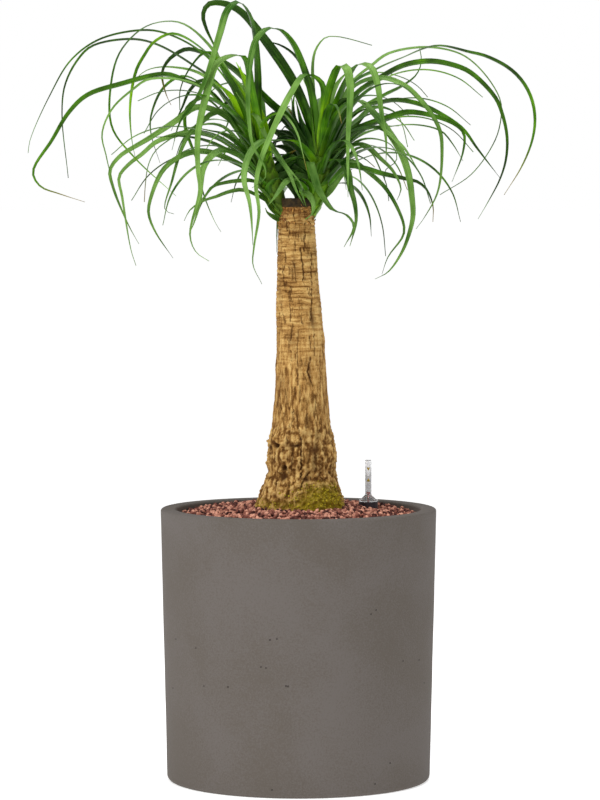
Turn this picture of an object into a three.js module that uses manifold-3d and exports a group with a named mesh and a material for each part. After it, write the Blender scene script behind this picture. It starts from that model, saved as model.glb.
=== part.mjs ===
// A potted ponytail palm. A thick sawn cane carries three leafy shoots. It is
// rooted in a round fibre-clay planter, which is filled with clay granules and
// has a water gauge standing in them.
//
// Millimetres, +Z up, front towards -Y. The origin is the centre of the
// planter's underside.

import * as THREE from 'three';
import { mergeVertices } from 'three/addons/utils/BufferGeometryUtils.js';
import Module from 'manifold-3d';

const wasm = await Module();
wasm.setup();

// ---------------------------------------------------------------------------
// Driving dimensions

const GAP = 0.3; // between pieces that touch

const PLANTER = {
  height: 395,
  rimRadius: 200,
  footRadius: 191,
  wall: 23,
  floor: 25,
  rimRound: 3.5,
  footRound: 7.5,
  sides: 48,
};

const GRANULES = {
  wallLevel: 382, // height of the bed at the wall
  mound: 13, // extra height round the cane
  moundReach: 62,
  backRise: 7, // extra height at the back wall
  pitch: 12.4, // between neighbouring points of the relief
  bump: 2.6, // a granule's top above the bed's level
  dip: 2.0, // the gaps between granules below it
  jitter: 1.1,
  seed: 11,
};

const ROOT_BALL = {
  top: 371,
  bottom: 200,
  topRadius: 93,
  bottomRadius: 78,
  round: 14,
  sides: 20,
};

// The cane, foot to cut: height, radius, and its centre's place along X
const CANE_SECTIONS = [
  [322, 48, 2],
  [334, 59, 2],
  [352, 65, 2],
  [374, 66, 2.2],
  [396, 64, 2.2],
  [413, 60, 2.5],
  [431, 54, 3.5],
  [448, 49, 4],
  [483, 48.5, 4.2],
  [500, 46, 4.3],
  [517, 42, 4.3],
  [552, 39, 4.3],
  [587, 36.9, 4],
  [622, 34.7, 3],
  [656, 34, 2],
  [691, 32.6, 0.5],
  [726, 30.4, -1],
  [761, 28.9, -2],
  [795, 26.8, -2.9],
  [826, 25.6, -2.9],
  [842, 25, -2.9],
];

const CANE = {
  sides: 36,
  rows: 26,
  fissures: 9, // clefts round the bark
  fissureDepth: 1.9,
  wrinkle: 0.9, // height of the rings across the bark
  reliefFrom: 404, // the bark is smooth below this and above reliefTo
  reliefTo: 822,
  reliefFade: 24,
};

// Knobs and hollows of the burl: angle from the front, height, size, depth
const CANE_KNOBS = [
  { angle: -48, height: 499, reach: 15, rise: 3.5 },
  { angle: -50, height: 486, reach: 7, rise: -5 },
  { angle: 62, height: 470, reach: 20, rise: 3 },
  { angle: -20, height: 462, reach: 12, rise: 3.2 },
  { angle: -16, height: 449, reach: 8, rise: -4 },
  { angle: 18, height: 515, reach: 16, rise: 2.4 },
  { angle: 150, height: 480, reach: 20, rise: 3.4 },
  { angle: -135, height: 520, reach: 17, rise: 3 },
  { angle: 100, height: 640, reach: 12, rise: 2 },
  { angle: -80, height: 600, reach: 12, rise: 1.8 },
];

const SEAL = {
  top: 844.5,
  skirt: 832,
  topRadius: 24.4,
  rimRadius: 26.7,
  round: 1.6, // height of the slope between the two
  boreTaper: 0.4,
  sides: 28,
};

const GAUGE = {
  x: 102.5,
  y: 66,
  housingRadius: 14,
  housingBore: 12,
  housingTop: 399,
  notch: 7,
  notchHeight: 9,
  skirtRadius: 11.6,
  skirtDepth: 8,
  flangeHeight: 3.1,
  coneTop: 409.4,
  tubeRadius: 4.7,
  tubeTop: 460.3,
  tubeBore: 3.5,
  capWall: 1.2,
  floatRadius: 10,
  floatHeight: 45,
  floatFoot: 28,
  rodRadius: 1.5,
  pointerRadius: 2.8,
  pointerFoot: 409.4,
  pointerTop: 413.6,
  sides: 20,
};

const BLADE = {
  pace: 68, // length of one facet of a blade
  fewest: 3,
  most: 6,
  keel: 1.5, // depth of the blade's ridge below its edges
  tipKeel: 0.9,
  flare: 0.3, // how much wider the sheath at the root is
  flareReach: 0.07,
  taper: 0.65, // share of the length that narrows
  taperPower: 0.85,
  tipWidth: 1.1,
  tolerance: 0.3, // of the joined shoots
};

const CORE = {
  rows: 6,
  sides: 8,
  swell: [0.95, 1.07], // between and on the scars of old leaves
};

// The front view that the leaves' courses are read in: a frame of 600 x 800
// points, seen by an eye in front of the planter that looks slightly down
const VIEW = {
  width: 600,
  height: 800,
  focal: 3821,
  eye: new THREE.Vector3(2.2, -5530, 875),
  tilt: THREE.MathUtils.degToRad(3.34),
};

// Each shoot's core, from inside the cane to its growing point
const SHOOTS = {
  left: {
    core: [[-9, -3, 808], [-26, -5, 832], [-42, -7, 866], [-50, -8, 904]],
    radii: [9, 12, 17, 12],
  },
  right: {
    core: [[7, -2, 808], [20, -3, 832], [29, -4, 866], [34, -5, 904]],
    radii: [9, 12, 17, 12],
  },
  back: {
    core: [[3, 8, 808], [8, 24, 832], [13, 38, 862], [16, 46, 892]],
    radii: [9, 12, 14, 8],
  },
};

// A leaf read in the front view. root is its place on the core, 0 at the foot
// and 1 at the growing point. lean is how far the tip ends behind (+) or before
// (-) the root. turn is how far its upper face is turned to the viewer, and twist
// how much further it turns from root to tip, both in degrees. course is a list of
// places in the view, outwards.
const leaf = (root, lean, width, turn, twist, course) =>
  ({ root, lean, width, turn, twist, course });

const LEFT_LEAVES = [
  // Long arches to the far left
  leaf(0.75, -70, 10, 0, -110, [[213, 94], [182, 79], [165, 74], [120, 84], [87, 95], [69, 112],
    [52, 140], [33, 172], [40, 186], [60, 194], [85, 202]]),
  leaf(0.9, 95, 6, -30, -10, [[245, 110], [215, 65], [196, 48], [168, 34], [145, 30], [100, 39],
    [71, 60], [50, 95], [30, 140], [28, 153]]),
  leaf(0.85, 25, 9.5, 70, -140, [[240, 95], [209, 45], [182, 23], [160, 21.5], [141, 29], [120, 52],
    [111, 84], [112, 127], [134, 157], [176, 196]]),
  leaf(0.888, -40, 10, 90, -210, [[238, 88], [204, 50], [173, 33.5], [154, 42], [145, 54],
    [136, 71], [130, 107], [132, 141], [135, 156]]),
  leaf(0.8, 130, 8, -60, 50, [[224, 90], [190, 63], [156, 44], [131, 39], [92, 46], [77.5, 60],
    [65, 85], [62, 115], [68, 178]]),
  leaf(0.55, -95, 6, 30, 20, [[205, 89], [150, 79], [132, 90], [112, 109], [102, 134], [106, 155],
    [112, 180], [120, 205]]),
  // Broad pale leaves that fall towards the viewer
  leaf(0.95, -170, 12, -30, 75, [[252, 90], [243, 56], [218, 62], [206, 96], [198, 134], [198, 169],
    [200, 190], [190, 235], [196, 252], [209, 261]]),
  leaf(0.905, -105, 14.5, -45, 110, [[258, 119], [258, 75], [255, 35], [249, 13], [239, 1.5],
    [228, 9], [220, 33], [212, 60], [206, 78], [196, 100], [180, 122], [172, 150]]),
  leaf(0.938, -70, 9, 10, 20, [[246, 130], [249, 114], [254, 113.5], [259, 121], [265, 135],
    [271, 144], [277, 152.5], [286.5, 166], [299, 181], [306, 193]]),
  leaf(0.926, -120, 7, 10, -22, [[262, 125], [272, 115], [281.6, 113], [291, 122], [297.5, 134],
    [302.5, 152.5], [307, 170]]),
  leaf(0.788, -75, 9, 20, 20, [[266, 160], [272, 150], [281, 160], [289, 172], [296, 190],
    [304, 205]]),
  // Shorter arches over the left of the crown
  leaf(0.838, -30, 11.5, -55, 20, [[230, 80], [207, 52], [190, 68], [180, 90], [179.5, 110]]),
  leaf(0.6, 60, 11, -60, 10, [[235, 110], [203, 80], [190, 90], [182, 108], [171, 131]]),
  leaf(0.588, 120, 8, 35, 30, [[209, 79], [172, 67], [147, 70], [134, 80]]),
  leaf(0.5, 150, 7, -30, -30, [[218, 100], [185, 76], [164, 87], [151, 116], [151, 134], [160, 163]]),
  leaf(0.538, -55, 10.5, 50, 20, [[228, 118], [197, 107], [177, 120], [165, 128], [147, 139.5],
    [134, 147], [120, 156], [110, 170], [113, 187], [123, 213], [131, 230], [139, 244]]),
  leaf(0.576, -20, 10, 45, 20, [[250, 139], [240, 116], [226, 111], [211, 114], [203, 121],
    [190, 133], [181, 150], [172, 181], [165, 210], [174, 214]]),
  leaf(0.488, 85, 7, -30, -30, [[222, 112], [203, 98], [187, 108], [185, 126], [190, 142],
    [198, 163], [202, 189], [215, 222], [221, 232]]),
  leaf(0.476, 110, 6.5, 24, 25, [[222, 126], [190, 128], [167, 141], [155, 151], [148, 165],
    [145, 185], [144, 202]]),
  // The low fan at the left
  leaf(0.464, 70, 6.5, 30, 30, [[249, 148], [235, 138], [225, 133.5], [212, 131], [200, 128.6],
    [186, 127]]),
  leaf(0.42, 35, 10, 45, 20, [[240, 152], [229, 144], [219, 138], [200, 132.5], [184, 133],
    [172, 136], [156, 142], [142, 154], [128, 165], [119, 177], [122, 196], [131, 250], [136, 266]]),
  leaf(0.408, 0, 10, -50, 10, [[248, 161], [229, 151], [212, 142.5], [196, 138], [177, 136],
    [156, 137]]),
  leaf(0.35, -35, 10, 50, 20, [[252, 172], [233, 161], [216.5, 154], [201, 151], [183, 155],
    [163, 170], [149, 205], [149, 216], [156, 233], [173, 258]]),
  leaf(0.452, -110, 12, 30, 40, [[240, 158], [222, 150], [209, 158], [203, 169], [201, 185],
    [200, 200], [194, 223], [189, 234]]),
  leaf(0.3, -60, 9.5, 30, 32, [[254, 181], [243, 180.5], [228, 182], [212, 187], [205, 196],
    [196, 206]]),
  leaf(0.28, -15, 8.5, 30, 30, [[244, 190], [228, 192], [215, 197], [205, 200], [190, 210],
    [184, 221]]),
  leaf(0.12, -14, 11, 60, 10, [[281, 219], [273, 216.5], [267, 212], [265.6, 208]]),
  // Inner leaves and sheaths
  leaf(0.914, 25, 20, 58, 10, [[258, 122], [247, 98], [232, 78], [217, 62]]),
  leaf(0.876, 60, 16, -65, 10, [[262, 140], [259, 122], [249, 106], [238, 99], [224, 104],
    [215, 111]]),
  leaf(0.564, 42, 16, -65, -10, [[266, 165], [267, 145], [272, 124], [281, 113], [289, 118]]),
  leaf(0.44, 40, 14, -65, 10, [[268, 178], [270, 158], [277, 140], [289, 137], [299, 147]]),
  leaf(0.7, -20, 14, 55, 10, [[258, 150], [252, 128], [246, 108], [236, 92]]),
  leaf(0.2, -30, 18, 55, 10, [[280, 209], [274, 202], [266, 193], [256, 186]]),
  leaf(0.338, -40, 11, -60, 10, [[268, 192], [270, 184], [279, 178], [286, 182]]),
  leaf(0.962, 10, 16, 60, 10, [[259, 125], [254, 108], [246, 88], [240, 66]]),
  leaf(0.776, 30, 14, -70, 10, [[257, 150], [247, 130], [232, 118], [215, 109]]),
  leaf(0.738, 80, 15, -70, 0, [[263, 130], [262, 100], [258, 72]]),
  leaf(0.45, 4, 14, -70, 0, [[272, 178], [281, 166], [294, 158.5], [307, 158]]),
  leaf(0.526, 10, 14, -70, 0, [[270, 176], [267, 158], [268, 142], [275, 130]]),
  leaf(0.65, 20, 14, -60, 0, [[255, 165], [245, 150], [230, 138], [214, 131]]),
];

const RIGHT_LEAVES = [
  // Long arches to the far right
  leaf(0.85, -60, 10.5, 80, -200, [[350, 86], [376, 69], [400, 58], [436, 45.5], [470, 52],
    [486, 56], [509, 68], [523, 82], [532, 100], [535, 120], [532, 141], [522, 166], [504, 195]]),
  leaf(0.8, 40, 9.5, -45, -30, [[352, 98], [380, 77.5], [404, 65], [429, 61], [450, 64], [470, 72],
    [495, 97], [502, 113], [507, 136], [506, 159], [500, 179], [488, 202], [478, 219]]),
  leaf(0.9, 125, 6, 28, 20, [[350, 85], [372, 65], [388, 53.5], [425, 47], [456, 52], [472, 61],
    [491, 82], [501, 102], [501, 120], [495, 141], [472, 174], [440, 195]]),
  leaf(0.7, 30, 10.5, 0, -90, [[355, 112], [386, 101], [400, 100], [421, 104.5], [441, 114],
    [463, 129], [477, 148], [500, 178]]),
  leaf(0.6, -25, 10, -55, -30, [[350, 134], [387, 118], [407, 112], [434, 116], [456, 125],
    [464, 134], [463, 152], [452, 182]]),
  leaf(0.588, 85, 9, 70, -120, [[352, 140], [386, 127], [415, 124.5], [441, 131], [452, 143],
    [463, 161]]),
  leaf(0.788, 100, 12, -55, -10, [[350, 118], [384, 95], [402, 86], [416, 75], [421, 62], [419, 46]]),
  leaf(0.838, -85, 9.5, 45, 10, [[352, 88], [381, 77.5], [404, 85], [418, 97], [431, 113],
    [440, 131], [442, 149], [438, 191], [424, 218], [416, 229]]),
  leaf(0.888, 130, 5.5, 20, 20, [[350, 86], [376, 72.5], [402, 77], [418, 86], [428, 97]]),
  leaf(0.4, -45, 10, -50, -20, [[348, 166], [363, 168], [383, 173.6], [407, 179], [418, 182],
    [427, 190], [433, 206], [433, 222]]),
  // Broad pale leaves that fall towards the viewer
  leaf(1, -120, 13.5, -20, 60, [[325, 135], [336, 103], [348, 77], [358, 64], [370, 66], [377, 82],
    [381, 109], [386, 140], [386, 163]]),
  leaf(0.988, -135, 13, -20, 40, [[321, 145], [324, 112], [331, 83], [340, 65], [346, 67],
    [350, 83], [350, 103], [348, 140], [348, 197]]),
  leaf(0.876, -150, 14, -20, 60, [[327, 140], [340, 110], [358, 100], [374, 113], [388, 131],
    [400, 150], [408, 172], [412, 198], [413, 216], [409, 234], [402, 252], [388, 272], [375, 279]]),
  leaf(0.55, -95, 13.5, 10, -16, [[322, 164], [332, 159], [341.6, 161], [348, 173], [350, 186],
    [355, 205], [356, 222], [350, 246]]),
  leaf(0.5, -110, 13, 10, -20, [[310, 161], [313.5, 173], [318, 188], [326, 201.5], [333, 210],
    [346, 214.5], [354, 226], [344, 247]]),
  leaf(0.688, -60, 11, 26, 20, [[331, 155], [350, 145], [365, 145], [380, 158], [393, 171],
    [401, 189], [397, 200]]),
  leaf(0.75, -100, 12.5, 20, 20, [[345, 134], [380, 128], [397, 141], [405, 149], [417, 168]]),
  // Leaves that cross over to the left
  leaf(0.976, 70, 16, -78, -10, [[316, 140], [295, 85], [262, 36], [240, 11], [222, 3], [208, 4.5],
    [203, 15], [206, 28], [213, 43], [222, 62]]),
  leaf(0.826, 105, 14, -80, 30, [[309, 152], [299, 135], [289, 119], [272, 104], [250, 83],
    [225, 63], [188, 49], [175, 54.5], [167, 62], [162, 73], [166, 94], [171, 105]]),
  leaf(0.964, -124, 12, -50, 90, [[317, 138], [313, 100], [306, 74], [293, 43], [281, 30],
    [274, 28], [268, 28], [257, 38], [251, 57], [248, 90], [249, 120], [253, 146], [265, 168],
    [265, 178], [252, 188]]),
  leaf(0.952, -172, 10, -30, 60, [[323, 120], [323, 86], [317, 78], [305, 74], [291, 93],
    [281, 112], [272, 132], [261, 160], [256, 185], [259, 212], [254, 247], [253, 265], [262, 284]]),
  leaf(0.814, -170, 12, -40, 80, [[313, 159], [304, 148], [295, 141], [285, 139.5], [274, 140],
    [264, 140], [255, 146], [247, 160], [244, 180], [249, 200], [251, 214], [253, 245]]),
  leaf(0.864, 60, 14, -75, 0, [[314, 100], [297, 58], [280, 45], [262, 41]]),
  leaf(0.95, 95, 6, 30, -20, [[315, 110], [313, 61], [317, 47], [326, 37], [335, 36], [347, 38],
    [372, 45]]),
  // Inner and short leaves
  leaf(0.94, -25, 17, 75, 10, [[318, 150], [315, 129], [310, 95], [303, 78]]),
  leaf(0.938, -45, 14, -60, -20, [[322, 150], [327, 125], [336, 106], [348, 99], [366, 104]]),
  leaf(0.576, 60, 9, 45, 30, [[350, 137], [374, 127], [399, 126]]),
  leaf(0.538, 55, 8, 30, 30, [[352, 155], [365, 159], [375, 167]]),
  leaf(0.45, -10, 8, 40, 30, [[351, 161], [367, 171], [381, 183], [387, 190], [397, 207],
    [404, 226], [403, 236], [388, 257], [382, 274]]),
  leaf(0.488, 20, 6.5, 24, 25, [[360, 147], [371, 152], [381, 171], [387, 186], [389, 201]]),
  leaf(0.564, 145, 9.5, 45, 30, [[372, 108], [396, 113], [403, 126], [408, 147]]),
  leaf(0.65, 100, 6, 20, 25, [[360, 140], [389, 143], [397, 154], [396, 162], [386, 170], [385, 180]]),
  leaf(0.3, -95, 14, 20, 20, [[302, 183], [295, 179], [288, 180], [281, 188], [275, 197], [268, 205]]),
  leaf(0.35, -75, 11, 20, -20, [[302, 190], [309, 195], [313.5, 204], [312, 214], [305, 219]]),
  leaf(0.926, 20, 16, 70, 10, [[322, 130], [328, 106], [337, 84], [349, 70]]),
  leaf(0.852, 45, 14, -70, 10, [[318, 140], [308, 112], [300, 98], [291, 93]]),
  leaf(0.388, -30, 15, 65, 10, [[324, 196], [333, 187], [342, 176], [352, 169]]),
  leaf(0.288, -60, 9, 30, 20, [[311, 186], [303, 179], [296, 178], [300, 188], [306, 206]]),
  leaf(0.738, 50, 13, -65, 10, [[336, 140], [346, 118], [352, 104], [360, 92]]),
  leaf(0.476, 15, 13, -65, 10, [[331, 172], [341, 158], [349, 146], [361, 140]]),
  leaf(0.676, 5, 14, -75, 0, [[316, 163.5], [313.5, 150], [307, 132], [300, 115]]),
  leaf(0.84, 40, 14, -70, 0, [[311, 152], [300, 135], [294, 120], [292, 98]]),
  leaf(0.552, 22, 12, -70, 0, [[309, 165], [300, 158], [288, 163], [277, 174]]),
  leaf(0.276, -20, 13, -60, 0, [[312, 185], [304, 181], [296, 179]]),
  leaf(0.928, 5, 15, 70, 10, [[321, 145], [320, 118], [325, 92], [334, 74]]),
  leaf(0.376, 10, 13, 60, 10, [[322, 185], [331, 172], [343, 163], [356, 158]]),
];

const BACK_LEAVES = [
  leaf(0.55, -8, 15, -75, 10, [[303, 161], [290, 162.8], [278, 170], [269, 186]]),
  leaf(0.65, 12, 15, -75, -10, [[304, 160], [297, 144], [288, 138], [276, 141], [267, 150]]),
  leaf(0.8, 16, 18, -75, -10, [[303, 150], [294, 129], [283, 118], [274, 114.6], [266, 120],
    [262, 134]]),
  leaf(0.9, 10, 15, -70, 10, [[300, 160], [296, 130], [293, 105], [296, 88]]),
  leaf(0.3, 4, 14, -75, 0, [[303, 188], [302, 172], [296, 158], [286, 152]]),
  leaf(0.7, 10, 14, -70, 10, [[309, 150], [312, 128], [322, 114], [334, 118]]),
  leaf(0.4, 2, 15, -75, 0, [[301, 188], [292, 176], [283, 167], [271, 163]]),
];

// Leaves that no front view tells apart. They follow a rule: each turns on by
// the golden angle within its sector, rises, and arches over.
const RULE_SECTORS = {
  left: [
    { from: 190, to: 248, count: 5, length: [190, 320], rise: [44, 76], seed: 3 },
    { from: 98, to: 165, count: 5, length: [210, 330], rise: [40, 72], seed: 5 },
  ],
  right: [
    { from: 272, to: 340, count: 5, length: [190, 320], rise: [44, 76], seed: 7 },
    { from: 15, to: 82, count: 5, length: [210, 330], rise: [40, 72], seed: 9 },
  ],
  back: [
    { from: 35, to: 150, count: 13, length: [220, 390], rise: [30, 74], seed: 13 },
  ],
};

const RULE = {
  turn: 0.618034, // the golden share of the sector from leaf to leaf
  turnDraw: 0.08,
  steps: 7,
  bend: [95, 135], // degrees between a leaf's root and tip
  bendPower: 1.3,
  drift: 0.25, // radians that a leaf may swing aside on its way
  width: [8, 11.5],
  twist: 30,
  root: [0.35, 0.98],
};

const FINISH = {
  clay: { color: 0x8a857b, roughness: 0.85 },
  granule: { color: 0x8c4a30, roughness: 0.9 },
  soil: { color: 0x3a2b20, roughness: 1 },
  bark: { color: 0x9a8052, roughness: 0.85 },
  wax: { color: 0x2c2620, roughness: 0.6 },
  leaf: { color: 0x4f8a2c, roughness: 0.45 },
  darkLeaf: { color: 0x2f6a1c, roughness: 0.5 },
  housing: { color: 0x222222, roughness: 0.5 },
  clear: { color: 0xd8dcd6, roughness: 0.1, transparent: true, opacity: 0.4 },
  float: { color: 0xe6e2d8, roughness: 0.7 },
  red: { color: 0xb3201c, roughness: 0.4 },
};

// ---------------------------------------------------------------------------
// Small tools

// A repeatable draw of numbers from 0 to 1
function seededRandom(seed) {
  let state = seed >>> 0;
  return () => {
    state = (Math.imul(state, 1664525) + 1013904223) >>> 0;
    return state / 4294967296;
  };
}

const between = ([low, high], share) => low + (high - low) * share;

// Turn a profile of [radius, height] about the Z axis
function turned(profile, sides) {
  const outline = profile.map(([radius, height]) => new THREE.Vector2(radius, height));
  return new THREE.LatheGeometry(outline, sides).rotateX(Math.PI / 2);
}

// Points of a quarter round from one angle to another, in degrees
function rounded(radius, height, size, from, to, steps = 3) {
  const points = [];
  for (let step = 0; step <= steps; step++) {
    const angle = THREE.MathUtils.degToRad(from + (to - from) * step / steps);
    points.push([radius + size * Math.cos(angle), height + size * Math.sin(angle)]);
  }
  return points;
}

function meshOf(corners, faces) {
  const geometry = new THREE.BufferGeometry();
  geometry.setFromPoints(corners);
  geometry.setIndex(faces);
  return geometry;
}

// Close a stack of rings into one skin. Each ring runs anticlockwise as seen
// from the last ring, and its ends are flat.
function skin(rings) {
  const sides = rings[0].length;
  const last = (rings.length - 1) * sides;
  const faces = [];
  for (let foot = 0; foot < last; foot += sides) {
    for (let side = 0; side < sides; side++) {
      const a = foot + side;
      const b = foot + (side + 1) % sides;
      faces.push(a, b, b + sides, a, b + sides, a + sides);
    }
  }
  for (let side = 1; side + 1 < sides; side++) {
    faces.push(0, side + 1, side, last, last + side, last + side + 1);
  }
  return meshOf(rings.flat(), faces);
}

// A closed geometry as a solid that can be joined and cut
function solidOf(geometry) {
  const bare = geometry.clone();
  bare.deleteAttribute('normal');
  bare.deleteAttribute('uv');
  const shared = mergeVertices(bare);
  const index = shared.index.array;
  const faces = [];
  for (let at = 0; at < index.length; at += 3) {
    const [a, b, c] = index.slice(at, at + 3);
    if (a !== b && b !== c && c !== a) faces.push(a, b, c);
  }
  return new wasm.Manifold(new wasm.Mesh({
    numProp: 3,
    vertProperties: new Float32Array(shared.attributes.position.array),
    triVerts: new Uint32Array(faces),
  }));
}

function geometryOf(solid) {
  const { vertProperties, triVerts } = solid.getMesh();
  const geometry = new THREE.BufferGeometry();
  geometry.setAttribute('position', new THREE.BufferAttribute(vertProperties, 3));
  geometry.setIndex(new THREE.BufferAttribute(triVerts, 1));
  geometry.computeVertexNormals();
  return geometry;
}

// The largest body of a solid: loose scraps and sealed hollows fall away
function mainBody(solid) {
  const bodies = solid.decompose();
  return bodies.reduce((best, body) => (body.volume() > best.volume() ? body : best));
}

const joined = (solids) => solids.reduce((sum, next) => sum.add(next));

function piece(name, solid, finish) {
  const mesh = new THREE.Mesh(geometryOf(solid), new THREE.MeshStandardMaterial(finish));
  mesh.name = name;
  return mesh;
}

// ---------------------------------------------------------------------------
// Planter

const outerRadius = (height) =>
  PLANTER.footRadius + (PLANTER.rimRadius - PLANTER.footRadius) * height / PLANTER.height;

const innerRadius = (height) => outerRadius(height) - PLANTER.wall;

function planter() {
  const { height, floor, rimRound, footRound, sides } = PLANTER;
  const foot = outerRadius(footRound) - footRound;
  const rim = outerRadius(height) - rimRound;
  const lip = innerRadius(height) + rimRound;
  return solidOf(turned([
    [0, 0],
    ...rounded(foot, footRound, footRound, -90, 0),
    ...rounded(rim, height - rimRound, rimRound, 0, 90),
    ...rounded(lip, height - rimRound, rimRound, 90, 180, 2),
    [innerRadius(floor), floor],
    [0, floor],
  ], sides));
}

// ---------------------------------------------------------------------------
// Cane

// Radius and centre of the bare cane at a height
function caneSection(height) {
  const above = CANE_SECTIONS.findIndex(([level]) => level >= height);
  const upper = CANE_SECTIONS[Math.max(above, 1)];
  const lower = CANE_SECTIONS[Math.max(above, 1) - 1];
  const share = (height - lower[0]) / (upper[0] - lower[0]);
  return {
    radius: between([lower[1], upper[1]], share),
    centre: between([lower[2], upper[2]], share),
  };
}

// How strong the bark's relief is at a height, 0 to 1
function barkShare(height) {
  const { reliefFrom, reliefTo, reliefFade } = CANE;
  const near = Math.min(height - reliefFrom, reliefTo - height);
  return THREE.MathUtils.clamp(near / reliefFade, 0, 1);
}

// The bark's height over the bare cane: clefts, rings and the burl's knobs
function barkRelief(angle, height, row) {
  const wander = 0.9 * Math.sin(height / 47) + 0.5 * Math.sin(height / 19);
  const cleft = Math.max(0, Math.cos(CANE.fissures * angle + wander)) ** 3;
  const ring = CANE.wrinkle * (row % 2 ? 1 : -1) * (0.6 + 0.4 * Math.sin(2 * angle + height));
  return barkShare(height) * (ring - CANE.fissureDepth * cleft);
}

function knobRelief(angle, height) {
  const radius = caneSection(height).radius;
  let relief = 0;
  for (const knob of CANE_KNOBS) {
    const place = THREE.MathUtils.degToRad(knob.angle - 90);
    const turn = Math.atan2(Math.sin(angle - place), Math.cos(angle - place));
    const away = Math.hypot(turn * radius, height - knob.height) / knob.reach;
    relief += knob.rise * Math.exp(-away * away);
  }
  return relief;
}

// The cane as a stack of rings, grown by a margin and with or without relief
function caneSolid(grow, relief) {
  const foot = CANE_SECTIONS[0][0];
  const cut = CANE_SECTIONS.at(-1)[0];
  const levels = CANE_SECTIONS.map(([height]) => height);
  const heights = levels.filter((height) => height < CANE.reliefFrom);
  const barkRows = CANE.rows - heights.length;
  for (let row = 0; row < barkRows; row++) {
    heights.push(between([CANE.reliefFrom, cut], row / (barkRows - 1)));
  }
  const rings = heights.map((height, row) => {
    const { radius, centre } = caneSection(height);
    const reach = height === foot ? height - grow : height === cut ? height + grow : height;
    return Array.from({ length: CANE.sides }, (_, side) => {
      const angle = 2 * Math.PI * side / CANE.sides;
      const bark = relief(angle, height, row);
      const out = radius + bark + grow;
      return new THREE.Vector3(centre + out * Math.cos(angle), out * Math.sin(angle), reach);
    });
  });
  return solidOf(skin(rings));
}

const cane = () => caneSolid(0, (angle, height, row) =>
  barkRelief(angle, height, row) + knobRelief(angle, height));

// Room for the cane: its outline without the clefts, and a gap round it
const caneRoom = () => caneSolid(GAP, (angle, height) =>
  barkShare(height) * CANE.wrinkle + Math.max(0, knobRelief(angle, height)));

// The wound wax is a shallow cap over the sawn top
function cutSeal(grow = 0) {
  const { top, skirt, topRadius, rimRadius, round, boreTaper, sides } = SEAL;
  const [cut, cutRadius, centre] = CANE_SECTIONS.at(-1);
  const bore = cutRadius + GAP;
  const inside = [[0, cut + GAP], [bore, cut + GAP], [bore + boreTaper, skirt]];
  const profile = [
    ...(grow ? [[0, skirt - grow]] : inside),
    [rimRadius + grow, skirt - grow],
    [rimRadius + grow, top - round],
    [topRadius + grow, top + grow],
    [0, top + grow],
  ];
  return solidOf(turned(profile, sides).translate(centre, 0, 0));
}

// ---------------------------------------------------------------------------
// Root ball, granules and water gauge

function rootBall(grow = 0) {
  const { top, bottom, topRadius, bottomRadius, round, sides } = ROOT_BALL;
  return solidOf(turned([
    [0, bottom - grow],
    ...rounded(bottomRadius - round, bottom + round, round + grow, -90, 0, 2),
    ...rounded(topRadius - round, top - round, round + grow, 0, 90, 2),
    [0, top + grow],
  ], sides));
}

// The bed's level at a place, without its granules
function bedLevel(x, y) {
  const { wallLevel, mound, moundReach, backRise } = GRANULES;
  const away = Math.max(0, Math.hypot(x, y) - CANE_SECTIONS[4][1]) / moundReach;
  const back = backRise * Math.max(0, y / innerRadius(PLANTER.height));
  return wallLevel + mound * Math.exp(-away * away) + back;
}

// A slab larger than the planter, with a granule at every third point of a
// triangular net and a dip between them
function granuleSlab() {
  const { pitch, bump, dip, jitter, seed } = GRANULES;
  const draw = seededRandom(seed);
  const rise = pitch * Math.sqrt(3) / 2;
  const across = Math.ceil(PLANTER.rimRadius / pitch);
  const along = Math.ceil(PLANTER.rimRadius / rise);
  const columns = 2 * across + 1;
  const rows = 2 * along + 1;
  const corners = [];
  for (let row = 0; row < rows; row++) {
    for (let column = 0; column < columns; column++) {
      const shift = row % 2 / 2 - 0.25;
      const x = (column - across + shift) * pitch + jitter * (draw() - 0.5);
      const y = (row - along) * rise + jitter * (draw() - 0.5);
      const isGranule = (column - Math.floor(row / 2) - row + 3 * rows) % 3 === 0;
      const relief = (isGranule ? bump : -dip) + jitter * (draw() - 0.5);
      corners.push(new THREE.Vector3(x, y, bedLevel(x, y) + relief));
    }
  }
  const faces = [];
  for (let row = 0; row + 1 < rows; row++) {
    for (let column = 0; column + 1 < columns; column++) {
      const a = row * columns + column;
      const b = a + 1;
      const c = a + columns;
      const d = c + 1;
      if (row % 2) faces.push(a, d, c, a, b, d);
      else faces.push(a, b, c, b, d, c);
    }
  }
  return closedSlab(corners, faces, columns, rows);
}

// Close a net of points downwards, to a flat face on the planter's floor
function closedSlab(corners, faces, columns, rows) {
  const rim = [];
  for (let column = 0; column < columns; column++) rim.push(column);
  for (let row = 1; row < rows; row++) rim.push(row * columns + columns - 1);
  for (let column = columns - 2; column >= 0; column--) rim.push((rows - 1) * columns + column);
  for (let row = rows - 2; row > 0; row--) rim.push(row * columns);
  const foot = PLANTER.floor + GAP;
  const first = corners.length;
  for (const at of rim) corners.push(corners[at].clone().setZ(foot));
  const middle = corners.push(new THREE.Vector3(0, 0, foot)) - 1;
  rim.forEach((at, step) => {
    const next = (step + 1) % rim.length;
    faces.push(at, first + step, first + next, at, first + next, rim[next]);
    faces.push(middle, first + next, first + step);
  });
  return solidOf(meshOf(corners, faces));
}

// The room inside the planter's wall
function planterRoom() {
  const foot = PLANTER.floor + GAP;
  const top = PLANTER.height + 2 * GRANULES.mound;
  return solidOf(turned([
    [0, foot - 1],
    [innerRadius(foot - 1) - GAP, foot - 1],
    [innerRadius(top) - GAP, top],
    [0, top],
  ], PLANTER.sides));
}

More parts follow.
